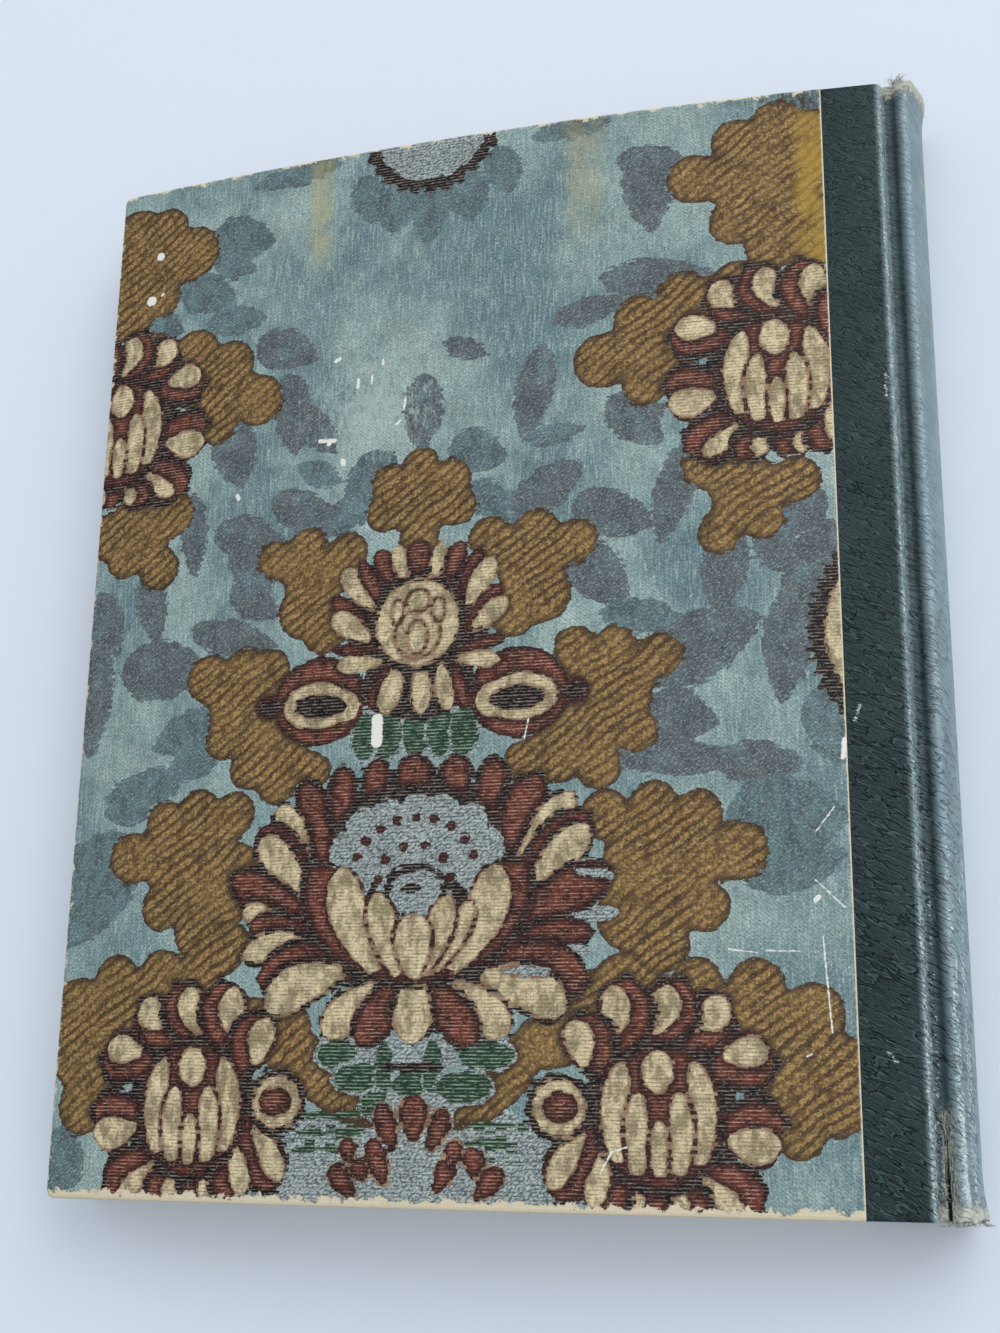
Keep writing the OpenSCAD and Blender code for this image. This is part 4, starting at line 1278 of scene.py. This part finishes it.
endpaperLook = plainMaterial("endpaper", (220, 209, 186), (209, 195, 167), size=22, rough=0.8)
foldOff = spine["pagesThick"] / 2 + folds["overPages"]
endpaperFold("backEndpaperFold", "back_cover", middleZ + foldOff, endpaperLook)
endpaperFold("frontEndpaperFold", "front_cover", middleZ - foldOff, endpaperLook)
boardLook = plainMaterial("greyboard", (146, 138, 124), (128, 120, 108), size=2.5, rough=0.85)
cardLook = plainMaterial("spineCard", (170, 154, 128), (156, 140, 114), size=3, rough=0.85)
gauzeLook = weaveMaterial("gauze", (206, 200, 186), (170, 162, 146), gap=1.2, along=1)
bandLook = weaveMaterial("headbandThread", (206, 190, 150), (116, 44, 40), gap=1.6, along=2)
finishes = {
    "back_board": boardLook, "front_board": boardLook, "spine_inlay": cardLook, "spine_lining": gauzeLook,
    "headband_head": bandLook, "headband_tail": bandLook, "back_flyleaf": endpaperLook,
    "front_flyleaf": endpaperLook, "back_pastedown": endpaperLook, "front_pastedown": endpaperLook,
}
for node, material in finishes.items():
    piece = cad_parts[node]
    piece.data.materials.clear()
    piece.data.materials.append(material)
print("frame nodes finished:", len(finishes))


# Floor, light and camera

stage = {
    "floorWide": 6,  # metres, as the lamp's sizes are
    "floorSeen": (203, 206, 212),  # screen colour as it is seen, then as it lights the book
    "floorLit": (220, 228, 241),
    "roomColour": (0.93, 0.97, 1.0, 1.0),
    "roomFrom": (0.5, 0.62, 0.6),  # where the room is brightest
    "windowFrom": (0.84, 0.25, 0.48),  # seen in reflections alone
    "lampPower": 17,
    "lampWide": 1.6,
    "lampColour": (1.0, 0.98, 0.95),
    "lampAt": (1.1, 1.2, 1.6),
    "cameraAt": (109.59, -114.24, 393.92),  # millimetres
    "cameraTurn": (15.435, 15.739, 0.836),  # degrees
    "cameraAngle": 43.170,
}


def rayIs(tree, kind):
    return Wire(tree.nodes.new("ShaderNodeLightPath").outputs[f"Is {kind} Ray"])


def makeFloor():
    bpy.ops.mesh.primitive_plane_add(size=stage["floorWide"], location=(0, 0, 0))
    floor = bpy.context.object
    floor.name = "floor"
    material, tree, shader = newMaterial("paleFloor", rough=0.9, specular=0.0)
    seen = highest(*[rayIs(tree, kind) for kind in ("Camera", "Glossy", "Transmission")])
    join(blendOf(seen, tint(*stage["floorSeen"]), tint(*stage["floorLit"])), shader, "Base Color")
    floor.data.materials.append(material)


def placed(name, data, location):
    holder = bpy.data.objects.new(name, data)
    bpy.context.scene.collection.objects.link(holder)
    holder.location = location
    return holder


def makeLights():
    # a soft room lit from the head's side, with a bright window on the spine's side in the reflections
    world = bpy.data.worlds.new("softRoom")
    bpy.context.scene.world = world
    world.use_nodes = True
    tree = world.node_tree
    way = put("ShaderNodeTexCoord", {}, 0, tree)

    def lit(direction, low, high, dim, bright):
        facing = vector("DOT_PRODUCT", way, direction, output=1)
        return between(facing, low, high, dim, bright)

    room = lit(stage["roomFrom"], low=-0.3, high=1.0, dim=0.5, bright=1.08)
    window = lit(stage["windowFrom"], low=0.5, high=0.95, dim=0.1, bright=5.0)
    level = blendOf(rayIs(tree, "Glossy"), room, window)
    level = blendOf(rayIs(tree, "Camera"), level, (0.8, 0.8, 0.8, 1.0))
    background = tree.nodes["Background"]
    background.inputs["Color"].default_value = stage["roomColour"]
    join(level, background, "Strength")
    lamp = bpy.data.lights.new("softLamp", "AREA")
    lamp.energy, lamp.size, lamp.color = stage["lampPower"], stage["lampWide"], stage["lampColour"]
    holder = placed("softLamp", lamp, Vector(stage["lampAt"]))
    holder.rotation_euler = (-holder.location).to_track_quat("-Z", "Y").to_euler()


def makeCamera():
    camera = bpy.data.cameras.new("photoView")
    camera.sensor_fit = "VERTICAL"
    camera.angle = math.radians(stage["cameraAngle"])
    holder = placed("photoView", camera, Vector(stage["cameraAt"]) * mm)
    holder.rotation_euler = [math.radians(turn) for turn in stage["cameraTurn"]]
    bpy.context.scene.camera = holder


makeFloor()
makeLights()
makeCamera()
print("floor, light and camera made")
bpy.context.scene.view_settings.view_transform = "Standard"
